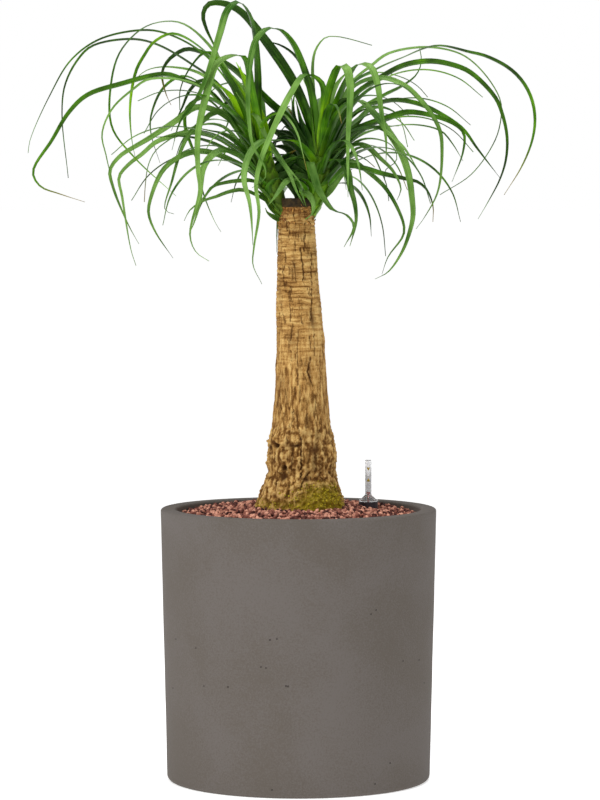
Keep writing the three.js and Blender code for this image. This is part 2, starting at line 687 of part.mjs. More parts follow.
function gaugeRoom() {
  const { x, y, housingRadius, sides } = GAUGE;
  const foot = PLANTER.floor - 1;
  const top = PLANTER.height + 2 * GRANULES.mound;
  return solidOf(turned([
    [0, foot],
    [housingRadius + GAP, foot],
    [housingRadius + GAP, top],
    [0, top],
  ], sides).translate(x, y, 0));
}

function granules() {
  const filled = granuleSlab().intersect(planterRoom());
  const bed = filled.subtract(rootBall(GAP)).subtract(caneRoom()).subtract(gaugeRoom());
  return mainBody(bed);
}

// A tube with notches at its foot that let the water in
function gaugeHousing() {
  const { housingRadius, housingBore, housingTop, notch, notchHeight, sides } = GAUGE;
  const foot = PLANTER.floor + GAP;
  let tube = solidOf(turned([
    [housingBore, foot],
    [housingRadius, foot],
    [housingRadius, housingTop],
    [housingBore, housingTop],
    [housingBore, foot],
  ], sides));
  for (let turn = 0; turn < 3; turn++) {
    const slot = new THREE.BoxGeometry(2 * housingRadius, notch, 2 * notchHeight);
    slot.translate(housingRadius, 0, foot).rotateZ(2 * Math.PI * turn / 3);
    tube = tube.subtract(solidOf(slot));
  }
  return tube;
}

// The clear cap: a skirt in the housing, a flange, a cone and the sight tube
function gaugeCap() {
  const { housingRadius, housingTop, skirtRadius, skirtDepth, flangeHeight } = GAUGE;
  const { coneTop, tubeRadius, tubeTop, tubeBore, capWall, sides } = GAUGE;
  const flange = housingTop + GAP;
  const skirt = skirtRadius - capWall;
  return solidOf(turned([
    [skirt, housingTop - skirtDepth],
    [skirtRadius, housingTop - skirtDepth],
    [skirtRadius, flange],
    [housingRadius, flange],
    [housingRadius, flange + flangeHeight],
    [skirtRadius, flange + flangeHeight],
    [tubeRadius, coneTop],
    [tubeRadius, tubeTop - 1],
    [tubeRadius - 1, tubeTop],
    [0, tubeTop],
    [0, tubeTop - capWall],
    [tubeBore, tubeTop - capWall],
    [tubeBore, coneTop - capWall],
    [skirt, flange + flangeHeight - capWall],
    [skirt, housingTop - skirtDepth],
  ], sides));
}

function gaugeFloat() {
  const { floatRadius, floatFoot, floatHeight, sides } = GAUGE;
  const top = floatFoot + floatHeight;
  return solidOf(turned([
    [0, floatFoot],
    [floatRadius - 2, floatFoot],
    [floatRadius, floatFoot + 2],
    [floatRadius, top - 2],
    [floatRadius - 2, top],
    [0, top],
  ], sides));
}

// The float's rod, with the pointer at its top
function gaugePointer() {
  const { floatFoot, floatHeight, rodRadius, pointerRadius, pointerFoot, pointerTop } = GAUGE;
  return solidOf(turned([
    [0, floatFoot + floatHeight + GAP],
    [rodRadius, floatFoot + floatHeight + GAP],
    [rodRadius, pointerFoot],
    [pointerRadius, pointerFoot + 0.6],
    [pointerRadius, pointerTop - 0.6],
    [pointerRadius - 0.8, pointerTop],
    [0, pointerTop],
  ], GAUGE.sides / 2));
}

// ---------------------------------------------------------------------------
// Leaves

// The point at a depth y that the front view shows at a place
function inView([across, down], depth) {
  const { width, height, focal, eye, tilt } = VIEW;
  const side = (across - width / 2) / focal;
  const up = (height / 2 - down) / focal;
  const reach = (depth - eye.y) / (Math.cos(tilt) + up * Math.sin(tilt));
  const rise = up * Math.cos(tilt) - Math.sin(tilt);
  return new THREE.Vector3(eye.x + side * reach, depth, eye.z + rise * reach);
}

const coreCurve = (shoot) =>
  new THREE.CatmullRomCurve3(shoot.core.map((point) => new THREE.Vector3(...point)));

// A leaf from its course in the front view. Its depth grows with the length
// that the view shows.
function viewLeaf(shoot, { root, lean, width, turn, twist, course }) {
  const start = coreCurve(shoot).getPoint(root);
  const flat = course.map((place) => inView(place, start.y));
  let run = 0;
  const runs = flat.map((point, at) => {
    run += point.distanceTo(at ? flat[at - 1] : start);
    return run;
  });
  const points = course.map((place, at) => inView(place, start.y + lean * runs[at] / run));
  return { points: [start, ...points], width, turn, twist };
}

// The leaves of a sector, which rise from the core and arch over
function sectorLeaves(shoot, { from, to, count, length, rise, seed }) {
  const draw = seededRandom(seed);
  const core = coreCurve(shoot);
  const leaves = [];
  for (let at = 0; at < count; at++) {
    const turn = (RULE.turn * (at + 1) + RULE.turnDraw * draw()) % 1;
    const young = (at + draw()) / count;
    const heading = THREE.MathUtils.degToRad(between([from, to], turn));
    const bend = THREE.MathUtils.degToRad(between(RULE.bend, draw()));
    const start = THREE.MathUtils.degToRad(between(rise, young));
    const pace = between(length, draw()) / RULE.steps;
    const drift = RULE.drift * (2 * draw() - 1);
    const points = [core.getPoint(between(RULE.root, young))];
    for (let step = 0; step < RULE.steps; step++) {
      const share = (step + 0.5) / RULE.steps;
      const climb = start - bend * share ** RULE.bendPower;
      const away = heading + drift * share;
      points.push(points.at(-1).clone().add(new THREE.Vector3(
        pace * Math.cos(climb) * Math.cos(away),
        pace * Math.cos(climb) * Math.sin(away),
        pace * Math.sin(climb),
      )));
    }
    leaves.push({
      points,
      width: between(RULE.width, draw()),
      turn: 0,
      twist: RULE.twist * (2 * draw() - 1),
    });
  }
  return leaves;
}

// The level direction across a leaf, square to where it heads
function acrossOf(points) {
  const root = points[0];
  const level = (point) => Math.hypot(point.x - root.x, point.y - root.y);
  const far = points.reduce((best, point) => (level(point) > level(best) ? point : best));
  return new THREE.Vector3(far.y - root.y, root.x - far.x, 0).normalize();
}

// Width of a blade at a share of its length: a flared sheath, then a taper
function bladeWidth(width, share) {
  const flare = 1 + BLADE.flare * Math.exp(-share / BLADE.flareReach);
  const taper = Math.min(1, (1 - share) / BLADE.taper) ** BLADE.taperPower;
  return Math.max(BLADE.tipWidth, width * flare * taper);
}

// A blade is a strip with two edges and a ridge below, on a curve
function blade({ points, width, turn, twist }) {
  const curve = new THREE.CatmullRomCurve3(points);
  const facets = Math.round(curve.getLength() / BLADE.pace);
  const count = THREE.MathUtils.clamp(facets, BLADE.fewest, BLADE.most);
  const spine = curve.getSpacedPoints(count);
  const level = acrossOf(points);
  const way = level.y > 0 ? -1 : 1;
  const rings = spine.map((point, at) => {
    const share = at / count;
    const before = spine[Math.max(at - 1, 0)];
    const after = spine[Math.min(at + 1, count)];
    const along = after.clone().sub(before).normalize();
    const across = level.clone().addScaledVector(along, -level.dot(along)).normalize();
    const roll = way * (turn * Math.abs(level.y) + twist * share);
    across.applyAxisAngle(along, THREE.MathUtils.degToRad(roll));
    const up = across.clone().cross(along);
    const half = bladeWidth(width, share) / 2;
    const keel = between([BLADE.keel, BLADE.tipKeel], share);
    return [
      point.clone().addScaledVector(across, half),
      point.clone().addScaledVector(up, -keel),
      point.clone().addScaledVector(across, -half),
    ];
  });
  return solidOf(skin(rings));
}

// The core that the leaves grow from, with the scars of old leaves as rings
function shootCore(shoot) {
  const curve = coreCurve(shoot);
  const spans = shoot.radii.length - 1;
  const { rows, sides, swell } = CORE;
  const rings = [];
  for (let row = 0; row <= rows; row++) {
    const share = row / rows;
    const centre = curve.getPoint(share);
    const along = curve.getTangent(share);
    const right = new THREE.Vector3(0, 1, 0).cross(along).normalize();
    const front = along.clone().cross(right);
    const at = Math.min(Math.floor(share * spans), spans - 1);
    const radius = swell[row % 2] * between(shoot.radii.slice(at, at + 2), share * spans - at);
    rings.push(Array.from({ length: sides }, (_, side) => {
      const angle = 2 * Math.PI * side / sides;
      return centre.clone()
        .addScaledVector(right, radius * Math.cos(angle))
        .addScaledVector(front, radius * Math.sin(angle));
    }));
  }
  return solidOf(skin(rings));
}

// A shoot: its core and all its leaves, grown together, clear of the cane
function shoot(side, readLeaves) {
  const leaves = [
    ...readLeaves.map((read) => viewLeaf(SHOOTS[side], read)),
    ...RULE_SECTORS[side].flatMap((sector) => sectorLeaves(SHOOTS[side], sector)),
  ];
  const grown = joined([shootCore(SHOOTS[side]), ...leaves.map(blade)]);
  const clear = grown.subtract(caneRoom()).subtract(cutSeal(GAP));
  return mainBody(clear.simplify(BLADE.tolerance));
}

// ---------------------------------------------------------------------------
// Assembly

const palm = new THREE.Group();

const pot = new THREE.Group();
pot.add(piece('planter', planter(), FINISH.clay));
pot.add(piece('granules', granules(), FINISH.granule));
palm.add(pot);

const plant = new THREE.Group();
plant.add(piece('root_ball', rootBall().subtract(caneRoom()), FINISH.soil));
plant.add(piece('trunk', cane(), FINISH.bark));
plant.add(piece('cut_seal', cutSeal(), FINISH.wax));
plant.add(piece('head_left', shoot('left', LEFT_LEAVES), FINISH.leaf));
plant.add(piece('head_right', shoot('right', RIGHT_LEAVES), FINISH.leaf));
plant.add(piece('head_back', shoot('back', BACK_LEAVES), FINISH.darkLeaf));
palm.add(plant);

const gauge = new THREE.Group();
gauge.position.set(GAUGE.x, GAUGE.y, 0);
gauge.add(piece('gauge_housing', gaugeHousing(), FINISH.housing));
gauge.add(piece('gauge_cap', gaugeCap(), FINISH.clear));
gauge.add(piece('gauge_float', gaugeFloat(), FINISH.float));
gauge.add(piece('gauge_pointer', gaugePointer(), FINISH.red));
palm.add(gauge);

export default palm;
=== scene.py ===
"""The looks of a potted ponytail palm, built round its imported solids.

Sizes are in millimetres, as in the part's source, and become metres where a
mesh is handed over. +Z is up and the front faces -Y. The origin is the centre
of the planter's underside.
"""

import logging
import math
from dataclasses import dataclass
from enum import Enum
from typing import Callable, Sequence

import bmesh
import bpy
import numpy as np
from mathutils import Euler, Matrix, Vector, noise


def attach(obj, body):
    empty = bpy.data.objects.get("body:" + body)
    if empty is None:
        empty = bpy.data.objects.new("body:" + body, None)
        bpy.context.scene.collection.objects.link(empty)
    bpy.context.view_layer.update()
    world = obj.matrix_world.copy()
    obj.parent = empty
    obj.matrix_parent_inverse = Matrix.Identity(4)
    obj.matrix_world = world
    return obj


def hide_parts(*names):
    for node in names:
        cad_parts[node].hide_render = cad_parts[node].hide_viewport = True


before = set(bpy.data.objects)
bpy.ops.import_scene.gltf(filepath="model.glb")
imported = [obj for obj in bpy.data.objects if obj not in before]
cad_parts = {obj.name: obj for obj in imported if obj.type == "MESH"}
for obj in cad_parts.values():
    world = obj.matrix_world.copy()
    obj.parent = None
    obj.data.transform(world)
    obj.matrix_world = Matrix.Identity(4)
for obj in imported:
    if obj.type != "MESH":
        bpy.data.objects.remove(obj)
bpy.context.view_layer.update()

log = logging.getLogger("ponytail_palm")

METRES = 0.001  # one millimetre
TINY = 1e-4  # a distance, or a share of a curve, that is too small to matter
SPIN_WELD = 1e-3  # how near the points are that a spun mesh joins
WALL_ROUNDS = 4  # in which a spot of the front view settles on a round wall
CREASE = math.radians(50)  # edges that turn further than this stay sharp
SMOOTH = math.pi  # and this leaves none sharp

Colour = tuple[float, float, float, float]
Places = np.ndarray
Span = tuple[float, float]  # a range, a ramp's start and end, or a bell's middle and reach
Spot = tuple[float, float]  # across and down in the front view, or radius and height
Course = tuple[float, ...]  # spots across and down in the front view, number by number
Triple = tuple[float, float, float]
Mesh = bmesh.types.BMesh
Material = bpy.types.Material
Dressed = tuple[Places, dict[str, np.ndarray]]  # places and the marks there


class Body(Enum):
    """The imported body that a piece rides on."""

    ROOT = "root"
    FLOAT = "float"


class Slot(Enum):
    """The material slot that a piece stands under. Its finish comes from its own material."""

    CLAY = "fibre_clay"
    GRANULE = "clay_granule"
    BARK = "bark"
    WAX = "wound_wax"
    LEAF = "leaf"
    HOUSING = "gauge_black"
    CLEAR = "gauge_clear"
    FOAM = "float_foam"
    POINTER = "pointer_red"


# ---- Small tools ----


def linear(value: float) -> float:
    """One share of a screen colour, 0 to 255, made linear."""
    share = value / 255
    return share / 12.92 if share <= 0.04045 else ((share + 0.055) / 1.055) ** 2.4


def srgb(red: float, green: float, blue: float) -> Colour:
    """Turn a screen colour, 0 to 255, into Blender's linear one, with full alpha."""
    return (linear(red), linear(green), linear(blue), 1.0)


def mixed(low: float, high: float, share: float) -> float:
    """The number at a share of the way between two others."""
    return low + (high - low) * share


def spots(course: Course) -> list[Spot]:
    """The spots of a course, its numbers taken two by two."""
    return list(zip(course[::2], course[1::2]))


def ramp(values: np.ndarray, start: float, end: float) -> np.ndarray:
    """Numbers that climb from 0 at the start to 1 at the end. The start may be the higher."""
    return np.clip((values - start) / (end - start), 0, 1)


def bell(values: np.ndarray, middle: float, reach: float) -> np.ndarray:
    """Numbers that are 1 at the middle and fade to about a third at the reach."""
    return np.exp(-(((values - middle) / reach) ** 2))


class Draw:
    """A repeatable draw of numbers from 0 to 1, the same as in the part's source."""

    def __init__(self, seed: int) -> None:
        """Start the draw at a seed."""
        self.state = seed

    def __call__(self) -> float:
        """Draw the next number."""
        self.state = (self.state * 1664525 + 1013904223) % 2**32
        return self.state / 2**32

    def between(self, low: float, high: float) -> float:
        """Draw a number between two others."""
        return mixed(low, high, self())


@dataclass(frozen=True)
class Grain:
    """Smooth noise that is read at many places."""

    across: float  # the size of its features along X and Y
    up: float  # their size along Z
    seed: float = 0.0  # a shift that gives another noise
    strength: float = 1.0

    def at(self, places: Places) -> np.ndarray:
        """The noise at places in millimetres, from about minus to plus its strength."""
        scaled = places / np.array((self.across, self.across, self.up)) + self.seed
        return self.strength * np.array([noise.noise(Vector(place)) for place in scaled])

    def lines(self, places: Places, width: float) -> np.ndarray:
        """1 on the lines where the noise is 0, and 0 from a width off."""
        return ramp(np.abs(self.at(places)), width, 0)


Grains = tuple[Grain, ...]


def layered(grains: Grains, places: Places) -> np.ndarray:
    """The sum of several noises."""
    return sum(part.at(places) for part in grains)


class Curve:
    """A smooth centripetal curve through points, as the part's source draws it."""

    DIVISIONS = 200

    def __init__(self, points: Sequence[Vector]) -> None:
        """Keep the points that the curve runs through."""
        self.points = [Vector(point) for point in points]

    def at(self, share: float) -> Vector:
        """The point at a share of the curve's spans.

        Args:
            share: 0 at the first point and 1 at the last.

        Returns:
            The point.
        """
        last = len(self.points) - 1
        place = min(max(share, 0.0), 1.0) * last
        span = int(place)
        weight = place - span
        if span >= last:
            span, weight = last - 1, 1.0
        one, two = self.points[span], self.points[span + 1]
        before = self.points[span - 1] if span > 0 else one * 2 - two
        after = self.points[span + 2] if span + 2 <= last else two * 2 - one
        return self.blend(before, one, two, after, weight)

    @staticmethod
    def blend(before: Vector, one: Vector, two: Vector, after: Vector, weight: float) -> Vector:
        """The point in one span, from its two ends and their neighbours.

        Args:
            before: The point before the span.
            one: The span's first end.
            two: The span's second end.
            after: The point after the span.
            weight: 0 at the first end and 1 at the second.

        Returns:
            The point.
        """
        middle = math.sqrt((two - one).length)
        first = math.sqrt((one - before).length)
        third = math.sqrt((after - two).length)
        if middle < TINY:
            middle = 1.0
        first = middle if first < TINY else first
        third = middle if third < TINY else third
        leave = (one - before) / first - (two - before) / (first + middle)
        leave = (leave + (two - one) / middle) * middle
        arrive = (two - one) / middle - (after - one) / (middle + third)
        arrive = (arrive + (after - two) / third) * middle
        square = (two - one) * 3 - leave * 2 - arrive
        cube = (one - two) * 2 + leave + arrive
        return one + leave * weight + square * weight**2 + cube * weight**3

    def tangent(self, share: float) -> Vector:
        """The direction of the curve at a share of its spans."""
        return (self.at(share + TINY) - self.at(share - TINY)).normalized()

    def spaced(self, count: int) -> list[Vector]:
        """Points at even distances along the curve.

        Args:
            count: How many stretches the points bound.

        Returns:
            One point more than there are stretches.
        """
        shares = np.linspace(0, 1, self.DIVISIONS + 1)
        fine = np.array([self.at(share) for share in shares])
        runs = np.concatenate([[0], np.cumsum(np.linalg.norm(np.diff(fine, axis=0), axis=1))])
        wanted = np.interp(np.linspace(0, runs[-1], count + 1), runs, shares)
        return [self.at(share) for share in wanted]

    def length(self) -> float:
        """The length of the curve."""
        fine = [self.at(step / self.DIVISIONS) for step in range(self.DIVISIONS + 1)]
        return sum((two - one).length for one, two in zip(fine, fine[1:]))


@dataclass(frozen=True)
class FrontView:
    """The photograph's view, in which the leaves' courses and the bark's marks are read."""

    width: float = 600
    height: float = 800
    focal: float = 3821
    eye: Triple = (2.2, -5530, 875)
    tilt: float = math.radians(3.34)
    sensor: float = 36
    sight: float = 100  # metres that the camera sees

    def place(self, spot: Spot, depth: float) -> Vector:
        """The point at a depth that the view shows at a spot.

        Args:
            spot: Across and down in the frame.
            depth: The point's place along Y.

        Returns:
            The point in millimetres.
        """
        side = (spot[0] - self.width / 2) / self.focal
        up = (self.height / 2 - spot[1]) / self.focal
        reach = (depth - self.eye[1]) / (math.cos(self.tilt) + up * math.sin(self.tilt))
        rise = up * math.cos(self.tilt) - math.sin(self.tilt)
        return Vector((self.eye[0] + side * reach, depth, self.eye[2] + rise * reach))

    def camera(self) -> None:
        """Make the scene's camera."""
        lens = bpy.data.cameras.new("camera")
        lens.sensor_width = self.sensor
        lens.lens = self.focal * self.sensor / self.height
        lens.clip_end = self.sight
        camera = bpy.data.objects.new("camera", lens)
        camera.location = Vector(self.eye) * METRES
        camera.rotation_euler = (math.pi / 2 - self.tilt, 0, 0)
        bpy.context.scene.collection.objects.link(camera)
        bpy.context.scene.camera = camera


VIEW = FrontView()


# ---- Meshes ----

Shape = Callable[[np.ndarray, np.ndarray], Dressed]


def paint(mesh: Mesh, marks: dict[str, np.ndarray]) -> None:
    """Give each point its marks, which materials read as attributes.

    Args:
        mesh: The mesh, with its points in the marks' order.
        marks: A number for each point, under each mark's name.
    """
    for name, values in marks.items():
        layer = mesh.verts.layers.float.get(name) or mesh.verts.layers.float.new(name)
        for vert, value in zip(mesh.verts, values):
            vert[layer] = value


def sleeve(sides: int, rows: int, shape: Shape) -> Mesh:
    """Roll a grid up into a closed tube.

    Args:
        sides: Faces round the tube.
        rows: Faces along it.
        shape: Gives the places and marks for shares round and along the tube.

    Returns:
        The tube, welded along its seam and filled at both ends.
    """
    mesh = bmesh.new()
    mesh.loops.layers.uv.new("UVMap")
    bmesh.ops.create_grid(mesh, x_segments=sides, y_segments=rows, size=0.5, calc_uvs=True)
    flat = np.array([vert.co[:2] for vert in mesh.verts]) + 0.5
    places, marks = shape(flat[:, 0], flat[:, 1])
    for vert, place in zip(mesh.verts, places):
        vert.co = place
    paint(mesh, marks)
    bmesh.ops.remove_doubles(mesh, verts=mesh.verts, dist=TINY)
    ends = [edge for edge in mesh.edges if edge.is_boundary]
    bmesh.ops.holes_fill(mesh, edges=ends, sides=0)
    bmesh.ops.recalc_face_normals(mesh, faces=mesh.faces)
    return mesh


def turned(outline: Sequence[Spot], sides: int) -> Mesh:
    """Spin an outline about the Z axis.

    Args:
        outline: Radius and height of each corner, along the outline.
        sides: Faces round the axis.

    Returns:
        The spun mesh.
    """
    mesh = bmesh.new()
    corners = [mesh.verts.new((radius, 0, height)) for radius, height in outline]
    edges = [mesh.edges.new(pair) for pair in zip(corners, corners[1:])]
    bmesh.ops.spin(
        mesh,
        geom=corners + edges,
        cent=(0, 0, 0),
        axis=(0, 0, 1),
        dvec=(0, 0, 0),
        angle=2 * math.pi,
        steps=sides,
        use_merge=True,
    )
    bmesh.ops.remove_doubles(mesh, verts=mesh.verts, dist=SPIN_WELD)
    bmesh.ops.recalc_face_normals(mesh, faces=mesh.faces)
    return mesh


def rounded(centre: Spot, size: float, start: float, end: float, steps: int) -> list[Spot]:
    """Corners of an arc in an outline.

    Args:
        centre: Radius and height of the arc's centre.
        size: The arc's own radius.
        start: Where it starts, in degrees.
        end: Where it ends, in degrees.
        steps: Its number of stretches.

    Returns:
        Radius and height of each corner.
    """
    angles = [math.radians(mixed(start, end, step / steps)) for step in range(steps + 1)]
    return [
        (centre[0] + size * math.cos(angle), centre[1] + size * math.sin(angle))
        for angle in angles
    ]


def stretch(start: Spot, end: Spot, steps: int) -> list[Spot]:
    """Corners between two others, without the two."""
    shares = [step / steps for step in range(1, steps)]
    return [(mixed(start[0], end[0], s), mixed(start[1], end[1], s)) for s in shares]


@dataclass
class Lumps:
    """Many small lumps, joined into one mesh: granules, or cushions of moss."""

    seed: int
    kinds: int = 14
    unevenness: float = 0.22
    bumps: float = 1.3  # how fine the unevenness is
    apart: float = 50  # how far apart the kinds read their noise
    block: float = 1.6  # the cube that a lump of unit size is rounded from
    thin: Span = (0.8, 1)  # how far a lump is squashed along Y
    low: Span = (0.72, 0.95)  # and along Z

    def __post_init__(self) -> None:
        """Make the kinds of lump, and an empty mesh for their copies."""
        self.draw = Draw(self.seed)
        self.forms = [self.form() for _ in range(self.kinds)]
        self.mesh = bmesh.new()

    def form(self) -> bpy.types.Mesh:
        """Make one lump of unit size, rounded and uneven.

        Returns:
            The lump's mesh.
        """
        lump = bmesh.new()
        bmesh.ops.create_cube(lump, size=self.block)
        bmesh.ops.subdivide_edges(lump, edges=lump.edges, cuts=1, use_grid_fill=True)
        shift = Vector([self.draw.between(0, self.apart) for _ in range(3)])
        for vert in lump.verts:
            out = vert.co.normalized()
            vert.co = out * (1 + self.unevenness * noise.noise(out * self.bumps + shift))
        lump.verts.layers.float.new("tone")
        mesh = bpy.data.meshes.new("lump")
        lump.to_mesh(mesh)
        lump.free()
        return mesh

    def add(self, spot: Vector, size: float, tone: float) -> None:
        """Add a lump, squashed and turned at random.

        Args:
            spot: Its centre.
            size: Its radius.
            tone: Its mark, 0 to 1.
        """
        draw = self.draw
        squash = Vector((size, size * draw.between(*self.thin), size * draw.between(*self.low)))
        turn = Euler([draw.between(-math.pi, math.pi) for _ in range(3)])
        lump = self.forms[int(draw() * len(self.forms))].copy()
        lump.transform(Matrix.LocRotScale(spot, turn, squash))
        tones = np.full(len(lump.vertices), tone, np.float32)
        lump.attributes["tone"].data.foreach_set("value", tones)
        self.mesh.from_mesh(lump)
        bpy.data.meshes.remove(lump)

    def finished(self) -> Mesh:
        """Drop the kinds and give the joined mesh."""
        for form in self.forms:
            bpy.data.meshes.remove(form)
        return self.mesh


@dataclass
class Piece:
    """A finished mesh on its way into the scene."""

    name: str
    mesh: Mesh
    material: Material
    slot: Slot | None = None
    stands_for: tuple[str, ...] = ()
    body: Body = Body.ROOT

    def hand_over(self, sharp_from: float = CREASE) -> None:
        """Put the piece into the scene on its body, in metres, with its sharp edges marked.

        Args:
            sharp_from: The angle from which an edge is sharp.
        """
        bmesh.ops.scale(self.mesh, vec=(METRES,) * 3, verts=self.mesh.verts)
        data = bpy.data.meshes.new(self.name)
        self.mesh.to_mesh(data)
        self.mesh.free()
        data.shade_smooth()
        data.set_sharp_from_angle(angle=sharp_from)
        data.materials.append(self.material)
        made = bpy.data.objects.new(self.name, data)
        bpy.context.scene.collection.objects.link(made)
        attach(made, self.body.value)
        if self.stands_for:
            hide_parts(*self.stands_for)
        log.info("%s: %d faces on %s", self.name, len(data.polygons), self.body.value)


# ---- Finishes ----

Stops = Sequence[tuple[float, Colour]]
Socket = bpy.types.NodeSocket


class Graph:
    """A material's node graph, with short ways to add to it."""

    # Where a Mix node keeps its share, its two colours and, going out, the mixed one
    SHARE, ONE, TWO, MIXED = 0, 6, 7, 2

    def __init__(self, name: str) -> None:
        """Start a material with one surface shader.

        Args:
            name: The material's name.
        """
        self.material = bpy.data.materials.new(name)
        self.material.use_nodes = True
        self.tree = self.material.node_tree
        self.tree.nodes.clear()
        self.shader = self.tree.nodes.new("ShaderNodeBsdfPrincipled")
        output = self.tree.nodes.new("ShaderNodeOutputMaterial")
        self.tree.links.new(self.shader.outputs["BSDF"], output.inputs["Surface"])
        self.places = self.tree.nodes.new("ShaderNodeTexCoord")

    def feed(self, socket: Socket, value: object) -> None:
        """Set a socket to a value, or link it to another socket."""
        if isinstance(value, bpy.types.NodeSocket):
            self.tree.links.new(value, socket)
        else:
            socket.default_value = value

    def fill(self, node: bpy.types.Node, inputs: dict[str, object]) -> bpy.types.Node:
        """Feed a node's inputs, whose names have _ for a space."""
        for name, value in inputs.items():
            self.feed(node.inputs[name.replace("_", " ")], value)
        return node

    def node(self, kind: str, **inputs: object) -> bpy.types.Node:
        """Add a node of a kind and feed its inputs."""
        return self.fill(self.tree.nodes.new("ShaderNode" + kind), inputs)

    def coordinates(self, scale: Sequence[float] = (1, 1, 1), on_uv: bool = False) -> Socket:
        """The object's places, or those of its UV map, with the pattern shrunk by a scale."""
        source = self.places.outputs["UV" if on_uv else "Object"]
        return self.node("Mapping", Scale=scale, Vector=source).outputs["Vector"]

    def near(self, at: Socket, place: Sequence[float], reach: float) -> Socket:
        """How near the pattern's places are to one place.

        Args:
            at: The places.
            place: The place to be near to.
            reach: How far off the nearness ends.

        Returns:
            1 as far as half the reach, 0 from the reach outwards.
        """
        away = self.node("VectorMath")
        away.operation = "DISTANCE"
        self.feed(away.inputs[0], at)
        self.feed(away.inputs[1], place)
        return self.span(away.outputs["Value"], 0.5 * reach, reach, top=0, foot=1)

    def noise(
        self, at: Socket, scale: float, detail: float = 2, rough: float = 0.5, swirl: float = 0
    ) -> Socket:
        """Noise about 0.5, so fine per metre, with finer layers, so strong, and bent by itself."""
        node = self.node("TexNoise", Vector=at, Scale=scale, Detail=detail)
        return self.fill(node, {"Roughness": rough, "Distortion": swirl}).outputs["Fac"]

    def cells(self, at: Socket, scale: float) -> Socket:
        """The distance to the nearest of many scattered points, so many to the metre."""
        return self.node("TexVoronoi", Vector=at, Scale=scale).outputs["Distance"]

    def mark(self, name: str) -> Socket:
        """Read a number that was painted on the mesh.

        Args:
            name: Its name.

        Returns:
            The number.
        """
        node = self.node("Attribute")
        node.attribute_name = name
        return node.outputs["Fac"]

    def span(self, value: Socket, low: float, high: float, top: float = 1, foot: float = 0) -> Socket:
        """Stretch a range, so that low becomes foot and high becomes top, and hold it there."""
        node = self.node("MapRange", Value=value, From_Min=low, From_Max=high)
        return self.fill(node, {"To Min": foot, "To Max": top}).outputs["Result"]

    def sum(self, one: object, two: object, operation: str = "ADD") -> Socket:
        """Join two numbers by a sum or another operation.

        Args:
            one: A number.
            two: Another.
            operation: What joins them.

        Returns:
            The result.
        """
        node = self.node("Math")
        node.operation = operation
        self.feed(node.inputs[0], one)
        self.feed(node.inputs[1], two)
        return node.outputs["Value"]

    def ramp(self, value: Socket, stops: Stops) -> Socket:
        """Turn a number into a colour.

        Args:
            value: The number.
            stops: Where each colour stands.

        Returns:
            The colour.
        """
        node = self.node("ValToRGB", Fac=value)
        elements = node.color_ramp.elements
        while len(elements) < len(stops):
            elements.new(0.5)
        for element, (place, colour) in zip(elements, stops):
            element.position = place
            element.color = colour
        return node.outputs["Color"]

    def blend(self, share: object, one: object, two: object) -> Socket:
        """Mix two colours.

        Args:
            share: How much of the second colour.
            one: The first colour.
            two: The second colour.

        Returns:
            The mixed colour.
        """
        node = self.node("Mix")
        node.data_type = "RGBA"
        self.feed(node.inputs[self.SHARE], share)
        self.feed(node.inputs[self.ONE], one)
        self.feed(node.inputs[self.TWO], two)
        return node.outputs[self.MIXED]

    def relief(self, height: Socket, depth: float, under: Socket | None = None) -> Socket:
        """Fine relief that only shades.

        Args:
            height: The relief's height, 0 to 1.
            depth: How high 1 is, in metres.
            under: Another relief that this one lies on.

        Returns:
            The shading direction.
        """
        node = self.node("Bump", Distance=depth, Height=height)
        if under:
            self.feed(node.inputs["Normal"], under)
        return node.outputs["Normal"]

    def surface(self, **inputs: object) -> Material:
        """Feed the surface shader, whose inputs have _ for a space, and give the material."""
        self.fill(self.shader, inputs)
        return self.material


@dataclass(frozen=True)
class FibreClay:
    """The planter's fibre clay: grey, softly clouded, with a fine grain and a few pits darkened with
    painted shade.
    """

    cool: Colour = srgb(103, 97, 93)
    warm: Colour = srgb(94, 87, 80)
    # The colour of the painted shade inside each pit
    shaded_pit: Colour = srgb(60, 54, 50)
    pits: tuple[tuple[Vector, float], ...] = ()  # the place and the reach of each

    def material(self) -> Material:
        """Make the material.

        Returns:
            The finished material.
        """
        graph = Graph("fibre_clay")
        at = graph.coordinates()
        clouds = graph.noise(at, 7, detail=5, rough=0.55, swirl=0.4)
        specks = graph.noise(at, 420, detail=3, rough=0.7)
        shade = graph.sum(graph.span(clouds, 0.3, 0.7), graph.span(specks, 0.2, 0.8, top=0.8, foot=-0.8))
        clay = graph.ramp(shade, ((0.1, self.warm), (0.9, self.cool)))
        pitted: Socket | float = 0.0
        for place, reach in self.pits:
            shaded_pit = graph.near(at, place * METRES, reach * METRES)
            pitted = graph.sum(pitted, shaded_pit, "MAXIMUM")
        # Painted shade: each pit's spot is blended towards the dark pit colour
        body = graph.blend(pitted, clay, self.shaded_pit)
        fine = graph.relief(specks, 0.0003)
        holes = graph.relief(graph.sum(1, pitted, "SUBTRACT"), 0.0008, fine)
        rough = graph.span(clouds, 0.3, 0.7, top=0.92, foot=0.78)
        return graph.surface(Base_Color=body, Roughness=rough, Normal=holes, Specular_IOR_Level=0.25)


@dataclass(frozen=True)
class ClayGranule:
    """Fired clay granules, each of its own shade from salmon to purple brown."""

    dark: Colour = srgb(58, 32, 32)
    middle: Colour = srgb(150, 92, 78)
    light: Colour = srgb(236, 172, 146)

    def material(self) -> Material:
        """Make the material.

        Returns:
            The finished material.
        """
        graph = Graph("clay_granule")
        at = graph.coordinates()
        blotch = graph.noise(at, 480, detail=3, rough=0.6)
        tone = graph.sum(graph.mark("tone"), graph.span(blotch, 0.2, 0.8, top=0.22, foot=-0.22))
        clay = graph.ramp(tone, ((0.05, self.dark), (0.5, self.middle), (0.95, self.light)))
        pores = graph.relief(graph.noise(at, 1900, rough=0.6), 0.0004)
        return graph.surface(Base_Color=clay, Roughness=0.9, Normal=pores, Specular_IOR_Level=0.2)


